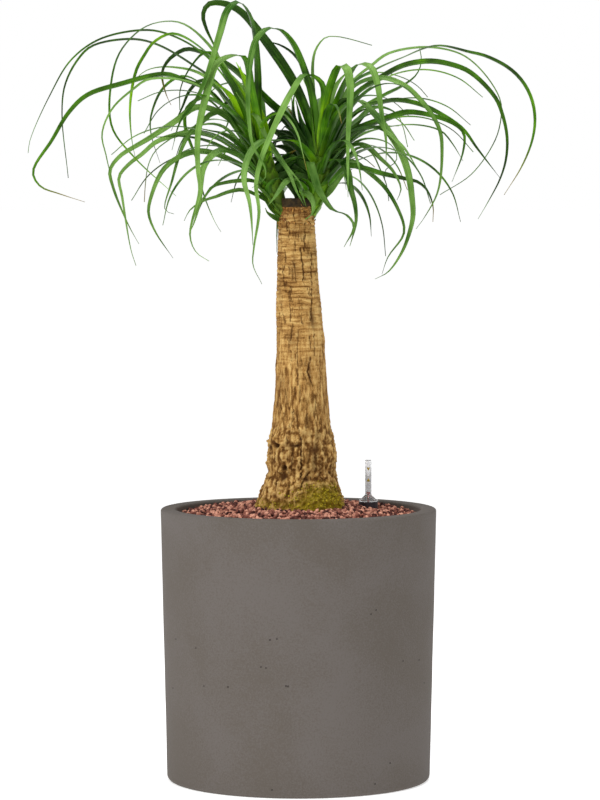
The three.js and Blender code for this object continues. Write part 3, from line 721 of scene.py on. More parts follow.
@dataclass(frozen=True)
class ShadowBed:
    """What shows in the gaps between the granules: more granules, coloured dark as painted shade."""

    # Painted shade: near is the lighter colour, deep the darker
    deep: Colour = srgb(38, 22, 20)
    near: Colour = srgb(84, 50, 44)

    def material(self) -> Material:
        """Make the material.

        Returns:
            The finished material.
        """
        graph = Graph("granule_shadow_bed")
        at = graph.coordinates()
        lumps = graph.cells(at, 150)
        # Painted shade: darker away from each scattered cell point, as between lumps
        clay = graph.ramp(lumps, ((0.0, self.near), (0.6, self.deep)))
        return graph.surface(Base_Color=clay, Roughness=1.0, Normal=graph.relief(lumps, 0.002))


@dataclass(frozen=True)
class Soil:
    """The root ball's peat, with pale threads of root."""

    peat: Colour = srgb(46, 33, 24)
    crumb: Colour = srgb(84, 62, 44)
    thread: Colour = srgb(150, 124, 86)

    def material(self) -> Material:
        """Make the material.

        Returns:
            The finished material.
        """
        graph = Graph("soil")
        at = graph.coordinates()
        crumbs = graph.noise(at, 260, detail=6, rough=0.7)
        peat = graph.ramp(crumbs, ((0.3, self.peat), (0.75, self.crumb)))
        run = graph.noise(graph.coordinates((1, 1, 0.25)), 90, swirl=2.5)
        over = graph.sum(graph.sum(run, 0.5, "SUBTRACT"), 0, "MAXIMUM")
        threads = graph.span(over, 0, 0.02, top=0, foot=1)
        earth = graph.blend(graph.span(threads, 0, 0.6, top=0.5, foot=0), peat, self.thread)
        return graph.surface(Base_Color=earth, Roughness=0.97, Normal=graph.relief(crumbs, 0.003))


@dataclass(frozen=True)
class Bark:
    """The cane's corky bark: tan plates, an olive film and moss low down, with painted shade in its
    clefts and hollows and painted light on its crests.
    """

    pale: Colour = srgb(218, 180, 112)
    tan: Colour = srgb(180, 136, 74)
    brown: Colour = srgb(110, 72, 28)
    stain: Colour = srgb(92, 58, 22)
    # The colour of the painted shade in clefts, hollows, fine lines and burl pockets
    cleft: Colour = srgb(84, 52, 20)
    film: Colour = srgb(98, 76, 34)
    moss: Colour = srgb(142, 124, 16)
    rust: Colour = srgb(104, 58, 20)

    def material(self) -> Material:
        """Make the material.

        Returns:
            The finished material.
        """
        graph = Graph("bark")
        at = graph.coordinates()
        rings = graph.noise(graph.coordinates((1, 1, 6)), 34, detail=4, rough=0.65, swirl=0.3)
        cords = graph.noise(graph.coordinates((1, 1, 0.22)), 230, detail=3, rough=0.6)
        speck = graph.noise(at, 620, detail=3, rough=0.7)
        share = graph.mark("cords")
        lines = graph.sum(
            graph.sum(rings, graph.sum(1, share, "SUBTRACT"), "MULTIPLY"),
            graph.sum(cords, share, "MULTIPLY"),
        )
        tone = graph.sum(lines, graph.span(speck, 0.2, 0.8, top=0.12, foot=-0.12))
        # Painted light: the crest mark makes crests and a sunlit patch paler and dips darker
        lit = graph.sum(tone, graph.mark("crest"))
        tan = graph.ramp(lit, ((0.34, self.brown), (0.5, self.tan), (0.68, self.pale)))
        spread = graph.noise(graph.coordinates((1, 1, 0.4)), 60, detail=4, rough=0.65)
        stained = graph.blend(graph.span(spread, 0.52, 0.72, top=0.6), tan, self.stain)
        filmed = graph.blend(graph.mark("film"), stained, self.film)
        torn = graph.sum(graph.mark("collar"), graph.span(speck, 0.35, 0.6), "MULTIPLY")
        rusty = graph.blend(torn, filmed, self.rust)
        # Painted shade: the cleft mark darkens clefts, hollows, fine lines and burl pockets by their
        # depth
        cut = graph.blend(graph.mark("cleft"), rusty, self.cleft)
        green = graph.sum(graph.mark("moss"), graph.span(speck, 0.25, 0.5), "MULTIPLY")
        body = graph.blend(green, cut, self.moss)
        bumps = graph.relief(speck, 0.0007, graph.relief(lines, 0.0016))
        return graph.surface(Base_Color=body, Roughness=0.88, Normal=bumps, Specular_IOR_Level=0.2)


@dataclass(frozen=True)
class Flecked:
    """Small rough pieces, each of its own shade between two colours."""

    name: str
    dark: Colour
    light: Colour
    ends: Span  # the tones where the two colours stand
    fineness: float
    spread: float  # how far the flecks change the tone
    relief: float
    roughness: float

    def material(self) -> Material:
        """Make the material.

        Returns:
            The finished material.
        """
        graph = Graph(self.name)
        fine = graph.noise(graph.coordinates(), self.fineness, detail=3, rough=0.7)
        tone = graph.mark("tone")
        tone = graph.sum(tone, graph.span(fine, 0.2, 0.8, top=self.spread, foot=-self.spread))
        body = graph.ramp(tone, ((self.ends[0], self.dark), (self.ends[1], self.light)))
        bumps = graph.relief(fine, self.relief)
        return graph.surface(Base_Color=body, Roughness=self.roughness, Normal=bumps)


# Cushions of moss, olive to yellow green
OLIVE, LIME = srgb(124, 108, 10), srgb(206, 186, 40)
MOSS = Flecked("moss", OLIVE, LIME, (0.1, 0.9), 900, 0.3, 0.0008, 0.95)
# Torn bark and old leaf bases under the cut
RUST, STRAW = srgb(112, 62, 20), srgb(196, 142, 64)
BARK_FIBRE = Flecked("bark_fibre", RUST, STRAW, (0.05, 0.95), 700, 0.25, 0.0006, 0.85)


@dataclass(frozen=True)
class WoundWax:
    """The black-brown wax on the sawn top, weathered grey in patches."""

    wax: Colour = srgb(36, 26, 12)
    worn: Colour = srgb(78, 62, 34)

    def material(self) -> Material:
        """Make the material.

        Returns:
            The finished material.
        """
        graph = Graph("wound_wax")
        at = graph.coordinates()
        patches = graph.noise(at, 120, detail=4, rough=0.6)
        body = graph.ramp(patches, ((0.4, self.wax), (0.75, self.worn)))
        rough = graph.span(patches, 0.3, 0.7, top=0.85, foot=0.6)
        bumps = graph.relief(graph.noise(at, 380, detail=3, rough=0.6), 0.0012)
        return graph.surface(Base_Color=body, Roughness=rough, Normal=bumps, Specular_IOR_Level=0.2)


@dataclass(frozen=True)
class LeafSkin:
    """A strap leaf: glossy and paler above, partly its own colour and partly painted sheen, deep green
    below, ribbed along its length.
    """

    deep: Colour = srgb(8, 42, 1)
    green: Colour = srgb(68, 122, 8)
    young: Colour = srgb(142, 196, 14)
    # The upper face's colours: paler partly as painted sheen
    shaded: Colour = srgb(34, 78, 10)
    pale: Colour = srgb(98, 136, 60)
    bright: Colour = srgb(122, 162, 80)
    sheath: Colour = srgb(118, 140, 42)
    dry: Colour = srgb(128, 100, 38)
    gloss: Colour = srgb(206, 255, 150)

    def material(self) -> Material:
        """Make the material.

        Returns:
            The finished material.
        """
        graph = Graph("leaf_skin")
        ribs = graph.noise(graph.coordinates((7, 1.2, 1), on_uv=True), 5, rough=0.6)
        clouds = graph.noise(graph.coordinates(), 40)
        # Painted light and shade: lighter and darker stretches along each leaf, as where it twists
        stretches = graph.noise(graph.coordinates(), 11)
        tone = graph.sum(graph.mark("tone"), graph.span(ribs, 0.25, 0.75, top=0.24, foot=-0.24))
        tone = graph.sum(tone, graph.span(clouds, 0.3, 0.7, top=0.16, foot=-0.16))
        tone = graph.sum(tone, graph.span(stretches, 0.36, 0.64, top=0.2, foot=-0.2))
        below = graph.ramp(tone, ((0.1, self.deep), (0.55, self.green), (0.95, self.young)))
        above = graph.ramp(tone, ((0.15, self.shaded), (0.6, self.pale), (0.95, self.bright)))
        # The upper face takes the paler ramp: partly its own colour, partly painted sheen
        blade = graph.blend(graph.mark("upper_face_sheen"), below, above)
        rooted = graph.blend(graph.mark("root"), blade, self.sheath)
        body = graph.blend(graph.mark("dry"), rooted, self.dry)
        rough, bumps = graph.span(ribs, 0.2, 0.8, top=0.44, foot=0.28), graph.relief(ribs, 0.0003)
        shine = {"Specular_IOR_Level": 0.42, "Specular_Tint": self.gloss}
        return graph.surface(Base_Color=body, Roughness=rough, Normal=bumps, **shine)


@dataclass(frozen=True)
class Plastic:
    """A moulded plastic with faint flow marks."""

    name: str
    colour: Colour
    shade: Colour
    roughness: float = 0.4
    clearness: float = 0.0
    bending: float = 1.4  # how strongly it bends light
    ripple: float = 0.0001  # height of its faint unevenness, in metres

    def material(self) -> Material:
        """Make the material.

        Returns:
            The finished material.
        """
        graph = Graph(self.name)
        at = graph.coordinates()
        flow = graph.noise(at, 160, detail=3, rough=0.6)
        body = graph.ramp(flow, ((0.35, self.shade), (0.65, self.colour)))
        return graph.surface(
            Base_Color=body,
            Roughness=self.roughness,
            Transmission_Weight=self.clearness,
            IOR=self.bending,
            Normal=graph.relief(graph.noise(at, 900), self.ripple),
        )


# ---- Planter ----


@dataclass
class Planter:
    """The round fibre-clay planter."""

    height: float = 395
    rim_radius: float = 200
    foot_radius: float = 191
    wall: float = 23
    floor: float = 25
    rim_round: float = 3.5
    foot_round: float = 7.5
    sides: int = 256
    wall_rows: int = 56
    inner_rows: int = 24
    under_rows: int = 8
    floor_rows: int = 6
    lip_rows: int = 4
    round_rows: int = 7
    # How far the cast wall wanders from true round, how, and how near to it a point is
    swell: float = 0.35
    drift: Grains = (Grain(90, 70, 3.1), Grain(28, 24, 8.7, 0.4))
    skin: float = 1
    # Pits seen in the front view: across and down in the frame, and reach
    pits: tuple[Triple, ...] = (
        (176, 639, 1.7), (196, 648, 1.5), (270, 640, 1.7), (277, 639, 1.5), (261, 667, 1.5),
        (266, 668, 1.5), (173, 688, 1.9), (204, 686, 1.5), (228, 687, 1.7), (286, 686, 1.7),
        (288, 686.4, 1.7), (403, 661, 1.5), (419, 660, 1.7), (424, 683, 1.7), (376, 610, 1.5),
        (371, 614, 1.5), (390, 763, 1.7), (375, 784, 1.7), (272, 790, 1.5),
    )

    def outer(self, height: float) -> float:
        """The wall's outer radius at a height."""
        return mixed(self.foot_radius, self.rim_radius, height / self.height)

    def pit_places(self) -> tuple[tuple[Vector, float], ...]:
        """Place the pits on the wall.

        Returns:
            Where each lies, with its reach.
        """
        found = []
        for across, down, reach in self.pits:
            place = VIEW.place((across, down), -self.foot_radius)
            for _ in range(WALL_ROUNDS):
                depth = math.sqrt(max(0.0, self.outer(place.z) ** 2 - place.x**2))
                place = VIEW.place((across, down), -depth)
            found.append((place, reach))
        return tuple(found)

    def inner(self, height: float) -> float:
        """The wall's inner radius at a height."""
        return self.outer(height) - self.wall

    def outline(self) -> list[Spot]:
        """Draw the planter's outline.

        Returns:
            Its points, from the middle of the underside to that of the floor.
        """
        foot = self.outer(self.foot_round) - self.foot_round
        rim = self.outer(self.height) - self.rim_round
        lip = self.inner(self.height) + self.rim_round
        high = self.height - self.rim_round
        rows = self.round_rows
        low_turn = rounded((foot, self.foot_round), self.foot_round, -90, 0, rows)
        rim_turn = rounded((rim, high), self.rim_round, 0, 90, rows)
        lip_turn = rounded((lip, high), self.rim_round, 90, 180, rows)
        corner = (self.inner(self.floor), self.floor)
        return [
            (0, 0),
            *stretch((0, 0), low_turn[0], self.under_rows),
            *low_turn,
            *stretch(low_turn[-1], rim_turn[0], self.wall_rows),
            *rim_turn,
            *stretch(rim_turn[-1], lip_turn[0], self.lip_rows),
            *lip_turn,
            *stretch(lip_turn[-1], corner, self.inner_rows),
            corner,
            *stretch(corner, (0, self.floor), self.floor_rows),
            (0, self.floor),
        ]

    def build(self) -> None:
        """Make the planter and hand it over."""
        mesh = turned(self.outline(), self.sides)
        places = np.array([vert.co for vert in mesh.verts])
        for vert, out in zip(mesh.verts, layered(self.drift, places)):
            level = Vector((vert.co.x, vert.co.y, 0))
            if vert.co.z > self.skin and level.length > self.inner(vert.co.z) - self.skin:
                vert.co += level.normalized() * out * self.swell
        clay = FibreClay(pits=self.pit_places()).material()
        Piece("pot_shell", mesh, clay, Slot.CLAY, ("planter",)).hand_over()


# ---- Cane ----


# Cracks in the bark, read in the front view: width, depth and course
Cleft = tuple[float, float, Course]
CLEFTS: tuple[Cleft, ...] = (
    (1.6, 2.4, (286.4, 221, 286.8, 231)), (1.3, 2.4, (293.6, 208, 293.6, 217)),
    (1.4, 2.6, (305.3, 223, 305, 238, 304.2, 251)), (1.1, 2, (295.6, 233, 295, 251)),
    (2.2, 3.2, (300.7, 248, 302.6, 263, 303.6, 280)), (1.1, 2, (310.4, 220, 310.6, 228)),
    (1.1, 2, (281.3, 235, 281, 251)), (1.5, 2.4, (284.8, 249, 285.4, 261, 283, 272, 283.6, 285)),
    (1.2, 1.8, (292.4, 268, 292.8, 280)), (1.2, 1.8, (286, 281, 286.2, 292)),
    (1.8, 2.8, (311.6, 252, 311.4, 275, 312, 300, 311.8, 318)),
    (1.4, 2.2, (290.6, 286, 290, 304, 290.4, 321)), (1.2, 2, (299, 297, 299.6, 317)),
    (1.6, 2.6, (281.6, 304, 282.8, 315, 285.4, 325)),
    (1.5, 2.4, (293, 324, 291, 333, 290.4, 340)), (1.6, 2.2, (301.6, 317, 302.4, 324)),
    (1, 1.6, (278.8, 327, 279.4, 354)), (1.4, 2, (298.6, 330, 297.4, 346, 297.8, 366)),
    (1.4, 2.2, (310.2, 336, 310.8, 349)), (1.3, 2, (314.6, 343, 315, 356)),
    (2.2, 2.8, (311, 357, 308, 372, 312, 385)), (1.6, 2.2, (297, 369, 298.4, 385)),
    (1.4, 2, (285, 389, 286.6, 400, 289, 409)), (1.8, 2.2, (293.4, 409, 293, 422)),
    (1.5, 2, (300, 393, 300.4, 403)),
    (1.8, 4.5, (301.4, 437, 300.8, 450, 301.6, 464, 300.8, 477)),
    (1.4, 3, (293, 448, 292.4, 460, 291, 470)), (1.3, 2.6, (291, 446.5, 299, 445, 310, 445.5)),
    (2, 4, (310.6, 473, 305, 478, 302, 484, 301, 490)), (1.1, 1.6, (320, 361, 320.6, 392)),
    (1.1, 1.6, (325, 380, 327, 410)), (1.5, 2, (315, 395, 318, 420)),
    (1.2, 1.8, (283.6, 413, 284, 432)), (1.4, 1.8, (307, 412, 305.6, 430)),
    (1.2, 1.8, (276, 480, 275, 500)), (1.6, 2.4, (289, 484, 287, 505)),
    (1.5, 2.2, (298, 488, 296, 507)), (1.3, 2.2, (320, 462, 324, 486)),
)


@dataclass(frozen=True)
class CrackRule:
    """Scattered cracks: how many, and the ranges that each one is drawn from."""

    count: int
    turns: Span  # in degrees from the front
    feet: Span
    runs: Span
    lean: float
    widths: Span
    depths: Span


@dataclass(frozen=True)
class Patch:
    """Where a colour shows on the bark."""

    strength: float
    heights: Span  # where it starts and where it is full
    side: Span = (0, math.inf)  # its middle, in degrees from the front, and its reach

    def at(self, front: np.ndarray, heights: np.ndarray) -> np.ndarray:
        """How strong the colour is at angles from the front and heights."""
        return self.strength * bell(front, *self.side) * ramp(heights, *self.heights)


@dataclass(frozen=True)
class ShardRule:
    """The torn shards under the cut: how many, and the ranges that each is drawn from."""

    count: int = 150
    seeds: tuple[int, int] = (83, 89)  # of their forms and of their places
    heights: Span = (806, 834)
    middle: float = -3  # the cane's middle here, along X
    run: Span = (3, 8)
    slope: Span = (-0.9, 1)
    root: float = 0.6  # how deep a shard starts in the bark
    belly: Span = (0.2, 1.3)  # how far its middle stands out
    tip: Span = (-0.4, 1.8)
    width: Span = (1.4, 4)
    twist: float = 60


@dataclass
class Cane:
    """The sawn cane with its bark, burl, moss and wound wax."""

    # Height, radius and the centre's place along X, foot to cut
    sections: tuple[Triple, ...] = (
        (322, 48, 2), (334, 59, 2), (352, 65, 2), (374, 66, 2.2), (396, 64, 2.2),
        (413, 60, 2.5), (431, 54, 3.5), (448, 49, 4), (483, 48.5, 4.2), (500, 46, 4.3),
        (517, 42, 4.3), (552, 39, 4.3), (587, 36.9, 4), (622, 34.7, 3), (656, 34, 2),
        (691, 32.6, 0.5), (726, 30.4, -1), (761, 28.9, -2), (795, 26.8, -2.9),
        (826, 25.6, -2.9), (842, 25, -2.9),
    )
    # Lumps and hollows that the solid has too: degrees from the front, height,
    # reach and rise
    lumps: tuple[tuple[float, float, float, float], ...] = (
        (-48, 499, 15, 3.5), (-50, 486, 7, -5), (62, 470, 20, 3), (-20, 462, 12, 3.2),
        (-16, 449, 8, -4), (18, 515, 16, 2.4), (150, 480, 20, 3.4), (-135, 520, 17, 3),
        (100, 640, 12, 2), (-80, 600, 12, 1.8),
    )
    # Lumps and hollows read in the front view: across, down, reach across and up, rise
    knobs: tuple[tuple[float, float, float, float, float], ...] = (
        (275.5, 440, 7, 4.5, 5), (276, 445.3, 5, 2.6, -11), (269.5, 440.5, 4, 3, 4.5),
        (270, 447.5, 5, 4, -4), (284.8, 467.8, 3, 3, -10), (281, 471.2, 8, 2.6, 4.5),
        (283, 477, 5, 5, -4.5), (281, 458, 11, 11, 3), (267, 463, 5, 5, 3), (299, 477.5, 9, 2.4, 3),
        (329.3, 472.9, 2.4, 2.4, -6), (315, 450, 7, 9, -2.5), (306, 480, 5, 3, -4),
        (295, 446, 9, 2.2, -3), (296, 441.5, 9, 2.4, 2), (313, 319, 4, 12, -2.4),
        (310, 372, 3.4, 12, -1.6),
    )
    clefts: tuple[Cleft, ...] = CLEFTS
    sides: int = 250
    foot_rows: int = 14
    bark_rows: int = 366
    fine_from: float = 392  # the mesh's fine rows start here
    rough_from: float = 380  # the bark's relief starts here
    rough_reach: float = 20  # and takes this height to grow, and to fade under the cut
    side_limit: float = 0.97  # no spot of the view lies further out on the radius
    front: float = -40  # along Y, where the search for a spot starts
    # Cracks. Those in the view are a little narrower and shallower than they look
    crack_seed: int = 29
    seen_width: float = 0.85
    seen_depth: float = 0.72
    hidden: CrackRule = CrackRule(86, (62, 298), (400, 815), (14, 50), 0.12, (0.7, 1.5), (1.4, 3))
    fine: CrackRule = CrackRule(640, (0, 360), (398, 820), (4, 17), 0.05, (0.4, 0.8), (0.7, 1.9))
    wander: Grains = (Grain(6, 4.5, 12.3, 1.5), Grain(2, 2.4, 3.9, 0.9))
    ragged: Grain = Grain(3.5, 5, 8.1, 0.9)
    raggedness: Triple = (0.62, 0.18, 1.4)  # the usual, the least and the most
    # Relief: rings high up, cords low down, flakes on the burl and a slow wave
    ring: Grains = (Grain(34, 3.1), Grain(16, 1.8, 5.3, 0.5))
    cord: Grains = (Grain(4.4, 22, 9.1), Grain(2.6, 9, 2.2, 0.5))
    flake: Grains = (Grain(6.5, 8, 4.4), Grain(3, 3.4, 7.7, 0.6))
    wave: Grain = Grain(22, 40, 1.5, 0.7)
    ring_rise: float = 0.95
    flake_rise: Span = (0.4, 2.4)  # among the cords, and on the burl
    # Fine lines: creases between rings, furrows between cords and edges of flakes
    crease: Grain = Grain(24, 3.6, 15.2)
    furrow: Grain = Grain(4.4, 34, 21.7)
    edge: Grain = Grain(5, 6.5, 31.3)
    line_width: float = 0.09
    edge_width: float = 0.1
    crease_share: float = 0.5
    furrow_share: Span = (0.25, 1)  # among the rings, and among the cords
    edge_share: Span = (0.5, 0.7)  # among the cords, and on the burl
    breaks: Grain = Grain(11, 9, 2.6, 1.3)
    line_depth: float = 0.5
    # The heights where cords, the burl and torn bark start, and where they are full
    corded: Span = (700, 550)
    burled: Span = (535, 495)
    torn: Span = (812, 826)
    # Colour: moss, and a band of it all round the foot, a patch of painted sunlight, and an
    # olive film in patches, with its strength, and its middle and reach in degrees and in height
    mossy: tuple[Patch, ...] = (Patch(1.5, (440, 414), (38, 34)), Patch(0.45, (414, 398)))
    painted_sunlight: Patch = Patch(0.1, (560, 640), (58, 30))
    film: tuple[float, Span, Span] = (0.55, (22, 20), (500, 60))
    film_patches: Grain = Grain(9, 14, 6.6, 1.4)
    painted_relief_light: Span = (0.17, 0.13)  # painted highlight on crests and shade in dips: among the rings, and among the cords
    crest_limit: float = 1.5
    # Painted shade, darkening clefts, hollows, fine lines and burl pockets by their depth
    cleft_full_shade: float = 1.7  # a cleft this deep is fully dark
    hollow_full_shade: float = 2.6
    line_shade: float = 0.6
    pocket_shade: float = 1.3
    pocket: Span = (-0.3, -1.3)
    # Cushions of moss
    moss_cushions: int = 1500
    moss_seeds: tuple[int, int] = (67, 71)  # of their forms and of their places
    moss_heights: Span = (400, 438)
    moss_sizes: Span = (0.7, 1.9)
    moss_unevenness: float = 0.5
    moss_cover: float = 0.9
    shards: ShardRule = ShardRule()

    def section(self, heights: np.ndarray | float) -> tuple[np.ndarray, np.ndarray]:
        """The bare cane's radius and centre at heights."""
        levels, radii, centres = zip(*self.sections)
        return np.interp(heights, levels, radii), np.interp(heights, levels, centres)

    def on_bark(self, spot: Spot) -> tuple[float, float]:
        """Where a spot of the front view lies on the bark.

        Args:
            spot: Across and down in the frame.

        Returns:
            The angle from the front, in radians, and the height.
        """
        depth, angle, height = self.front, 0.0, 0.0
        for _ in range(WALL_ROUNDS):
            place = VIEW.place(spot, depth)
            height = place.z
            radius, centre = (float(value) for value in self.section(height))
            across = (place.x - centre) / radius
            angle = math.asin(max(-self.side_limit, min(self.side_limit, across)))
            depth = -radius * math.cos(angle)
        return angle, height

    def cracks(self) -> list[tuple[list[tuple[float, float]], float, float]]:
        """Gather all the bark's cracks.

        Returns:
            The angle and height along each, its width and its depth.
        """
        seen = []
        for width, depth, course in self.clefts:
            marked = [self.on_bark(spot) for spot in spots(course)]
            seen.append((marked, self.seen_width * width, self.seen_depth * depth))
        draw, rule = Draw(self.crack_seed), self.hidden
        for _ in range(rule.count):
            angle = math.radians(draw.between(*rule.turns))
            foot = draw.between(*rule.feet)
            run = draw.between(*rule.runs)
            lean = draw.between(-rule.lean, rule.lean)
            course = [(angle, foot), (angle + lean, foot + run / 2), (angle + lean / 2, foot + run)]
            seen.append((course, draw.between(*rule.widths), draw.between(*rule.depths)))
        rule = self.fine
        for _ in range(rule.count):
            angle = math.radians(draw.between(*rule.turns))
            foot = draw.between(*rule.feet)
            lean = draw.between(-rule.lean, rule.lean)
            course = [(angle, foot), (angle + lean, foot + draw.between(*rule.runs))]
            seen.append((course, draw.between(*rule.widths), draw.between(*rule.depths)))
        return seen

    @staticmethod
    def apart(angles: np.ndarray, angle: float) -> np.ndarray:
        """The turn from one angle to others, the short way."""
        turn = angles - angle
        return np.arctan2(np.sin(turn), np.cos(turn))

    def cleft_depth(self, bare: Places, angles: np.ndarray, heights: np.ndarray) -> np.ndarray:
        """How deep the cracks are at many places. Their edges are ragged.

        Args:
            bare: The places, on the bare cane.
            angles: Their angles from the front.
            heights: Their heights.

        Returns:
            The depth at each.
        """
        radius, _ = self.section(heights)
        depth = np.zeros_like(heights)
        wander = layered(self.wander, bare)
        usual, least, most = self.raggedness
        ragged = np.clip(usual + self.ragged.at(bare), least, most)
        for course, width, deep in self.cracks():
            for (angle, low), (far, high) in zip(course, course[1:]):
                near = np.abs(heights - (low + high) / 2) < abs(high - low) / 2 + 4 * width
                side = self.apart(angles[near], angle) * radius[near]
                span = self.apart(np.array([far]), angle)[0] * radius[near]
                up = heights[near] - low
                run = high - low
                share = np.clip((side * span + up * run) / (span**2 + run**2), 0, 1)
                across = side + wander[near] - share * span
                away = np.hypot(across, up - share * run) / (width * ragged[near])
                depth[near] = np.maximum(depth[near], deep * np.exp(-(away**2)))
        return depth

    def lump_rise(self, angles: np.ndarray, heights: np.ndarray) -> tuple[np.ndarray, np.ndarray]:
        """Measure the lumps and the hollows at many places.

        Args:
            angles: Their angles from the front.
            heights: Their heights.

        Returns:
            How far the lumps stand out, and how deep the hollows are.
        """
        radius, _ = self.section(heights)
        rise = np.zeros_like(heights)
        hollow = np.zeros_like(heights)
        for degrees, height, reach, out in self.lumps:
            side = self.apart(angles, math.radians(degrees)) * radius
            rise += out * bell(np.hypot(side, heights - height), 0, reach)
        for across, down, wide, high, out in self.knobs:
            angle, height = self.on_bark((across, down))
            side = bell(self.apart(angles, angle) * radius, 0, wide)
            lump = out * side * bell(heights, height, high)
            rise += lump
            hollow = np.maximum(hollow, -lump)
        return rise, hollow

    def paces(self) -> tuple[Triple, Triple]:
        """The shares of the mesh's rows where their pace changes, and the heights there."""
        split = self.foot_rows / (self.foot_rows + self.bark_rows)
        return (0, split, 1), (self.sections[0][0], self.fine_from, self.sections[-1][0])

    def fine_lines(self, bare: Places, corded: np.ndarray, burled: np.ndarray) -> np.ndarray:
        """The bark's fine lines, broken up here and there.

        Args:
            bare: The places, on the bare cane.
            corded: How corky each place is.
            burled: How far it belongs to the burl.

        Returns:
            How strong a line is at each place, 0 to 1.
        """
        crease = self.crease_share * (1 - corded) * self.crease.lines(bare, self.line_width)
        furrow = mixed(*self.furrow_share, corded) * self.furrow.lines(bare, self.line_width)
        on_cords, on_burl = self.edge_share
        flaky = (on_cords * corded + on_burl * burled) * self.edge.lines(bare, self.edge_width)
        return np.maximum(crease + furrow, flaky) * np.clip(0.5 + self.breaks.at(bare), 0, 1)

    def shape(self, turns: np.ndarray, runs: np.ndarray) -> Dressed:
        """Place the bark's points and mark its finish.

        Args:
            turns: Shares round the cane, from the back.
            runs: Shares up the cane.

        Returns:
            The places, and the marks that the bark's finish reads.
        """
        angles = 2 * math.pi * (turns - 0.5)
        heights = np.interp(runs, *self.paces())
        radius, centre = self.section(heights)
        outwards = np.stack([np.sin(angles), -np.cos(angles), 0 * angles], axis=1)
        bare = outwards * radius[:, None]
        bare[:, 2] = heights
        cut = self.sections[-1][0]
        fade = ramp(np.minimum(heights - self.rough_from, cut - heights), 0, self.rough_reach)
        corded, burled = ramp(heights, *self.corded), ramp(heights, *self.burled)
        rough = layered(self.flake, bare)
        lines = self.fine_lines(bare, corded, burled)
        cleft = self.cleft_depth(bare, angles, heights)
        rise, hollow = self.lump_rise(angles, heights)
        crest = (1 - corded) * layered(self.ring, bare) * self.ring_rise
        crest += corded * layered(self.cord, bare) - self.line_depth * lines
        crest += (self.flake_rise[0] * corded + self.flake_rise[1] * burled) * rough
        out = fade * (crest + self.wave.at(bare) - cleft) + rise
        places = bare + outwards * out[:, None]
        places[:, 0] += centre
        front = np.degrees(angles)
        green = sum(patch.at(front, heights) for patch in self.mossy)
        strength, side, level = self.film
        olive = strength * bell(front, *side) * bell(heights, *level)
        olive = olive * np.clip(0.5 + self.film_patches.at(bare), 0, 1)
        # Painted shade: clefts, hollows, fine lines and pockets on the burl are darkened by their depth
        pocket = self.pocket_shade * burled * ramp(rough, *self.pocket)
        dark = ramp(cleft, 0, self.cleft_full_shade) * fade + ramp(hollow, 0, self.hollow_full_shade)
        dark = np.maximum(dark, np.maximum(self.line_shade * lines, pocket) * fade)
        # Painted light: crests paler and dips darker by the relief's height, and a painted sunlit patch
        held = np.clip(crest, -self.crest_limit, self.crest_limit)
        marks = {
            "cleft": np.clip(dark, 0, 1),
            "crest": mixed(*self.painted_relief_light, corded) * held + self.painted_sunlight.at(front, heights),
            "cords": corded,
            "moss": np.clip(green, 0, 1),
            "film": np.clip(olive, 0, 1),
            "collar": ramp(heights, *self.torn),
        }
        return places, marks

    def build(self) -> None:
        """Make the cane and its seal, and hand them over."""
        bark = sleeve(self.sides, self.foot_rows + self.bark_rows, self.shape)
        Piece("cane_bark", bark, Bark().material(), Slot.BARK, ("trunk",)).hand_over()
        self.moss()
        self.collar()
        CutSeal(self.sections[-1][2]).build()

    def on_surface(self, count: int, seed: int, heights: Span) -> Dressed:
        """Random places on the finished bark.

        Args:
            count: How many.
            seed: Where their scatter comes from.
            heights: The lowest and the highest.

        Returns:
            The places and the bark's marks there.
        """
        draw = Draw(seed)
        turns = np.array([draw() for _ in range(count)])
        levels = np.array([draw.between(*heights) for _ in range(count)])
        shares, marks = self.paces()
        return self.shape(turns, np.interp(levels, marks, shares))

    def moss(self) -> None:
        """Make the cushions of moss low on the cane."""
        lumps = Lumps(self.moss_seeds[0], unevenness=self.moss_unevenness)
        places, marks = self.on_surface(self.moss_cushions, self.moss_seeds[1], self.moss_heights)
        for place, share in zip(places, marks["moss"]):
            if share * self.moss_cover > lumps.draw():
                lumps.add(Vector(place), lumps.draw.between(*self.moss_sizes), lumps.draw())
        green = MOSS.material()
        Piece("moss_cushions", lumps.finished(), green, Slot.BARK, ("trunk",)).hand_over(SMOOTH)

    def collar(self) -> None:
        """Make the torn bark and old leaf bases under the cut."""
        rule = self.shards
        draw = Draw(rule.seeds[0])
        places, _ = self.on_surface(rule.count, rule.seeds[1], rule.heights)
        form = BladeForm(pace=4, fewest=3, most=5, sides=6, thickness=1.1, keel=0.4, tip_keel=0.3)
        whole = bmesh.new()
        for place in places:
            start = Vector(place)
            out = Vector((place[0] - rule.middle, place[1], 0)).normalized()
            side = Vector((-out.y, out.x, 0)) * draw.between(-1, 1)
            rise = Vector((0, 0, draw.between(*rule.slope)))
            run = draw.between(*rule.run)
            course = [
                start - out * rule.root,
                start + (side + rise) * run * 0.5 + out * draw.between(*rule.belly),
                start + (side + rise) * run + out * draw.between(*rule.tip),
            ]
            width, twist = draw.between(*rule.width), draw.between(-rule.twist, rule.twist)
            add_blade(whole, form.blade(Strap(course, width, 0, twist, draw())))
        torn = BARK_FIBRE.material()
        Piece("collar_fibres", whole, torn, Slot.BARK, ("trunk",)).hand_over(SMOOTH)


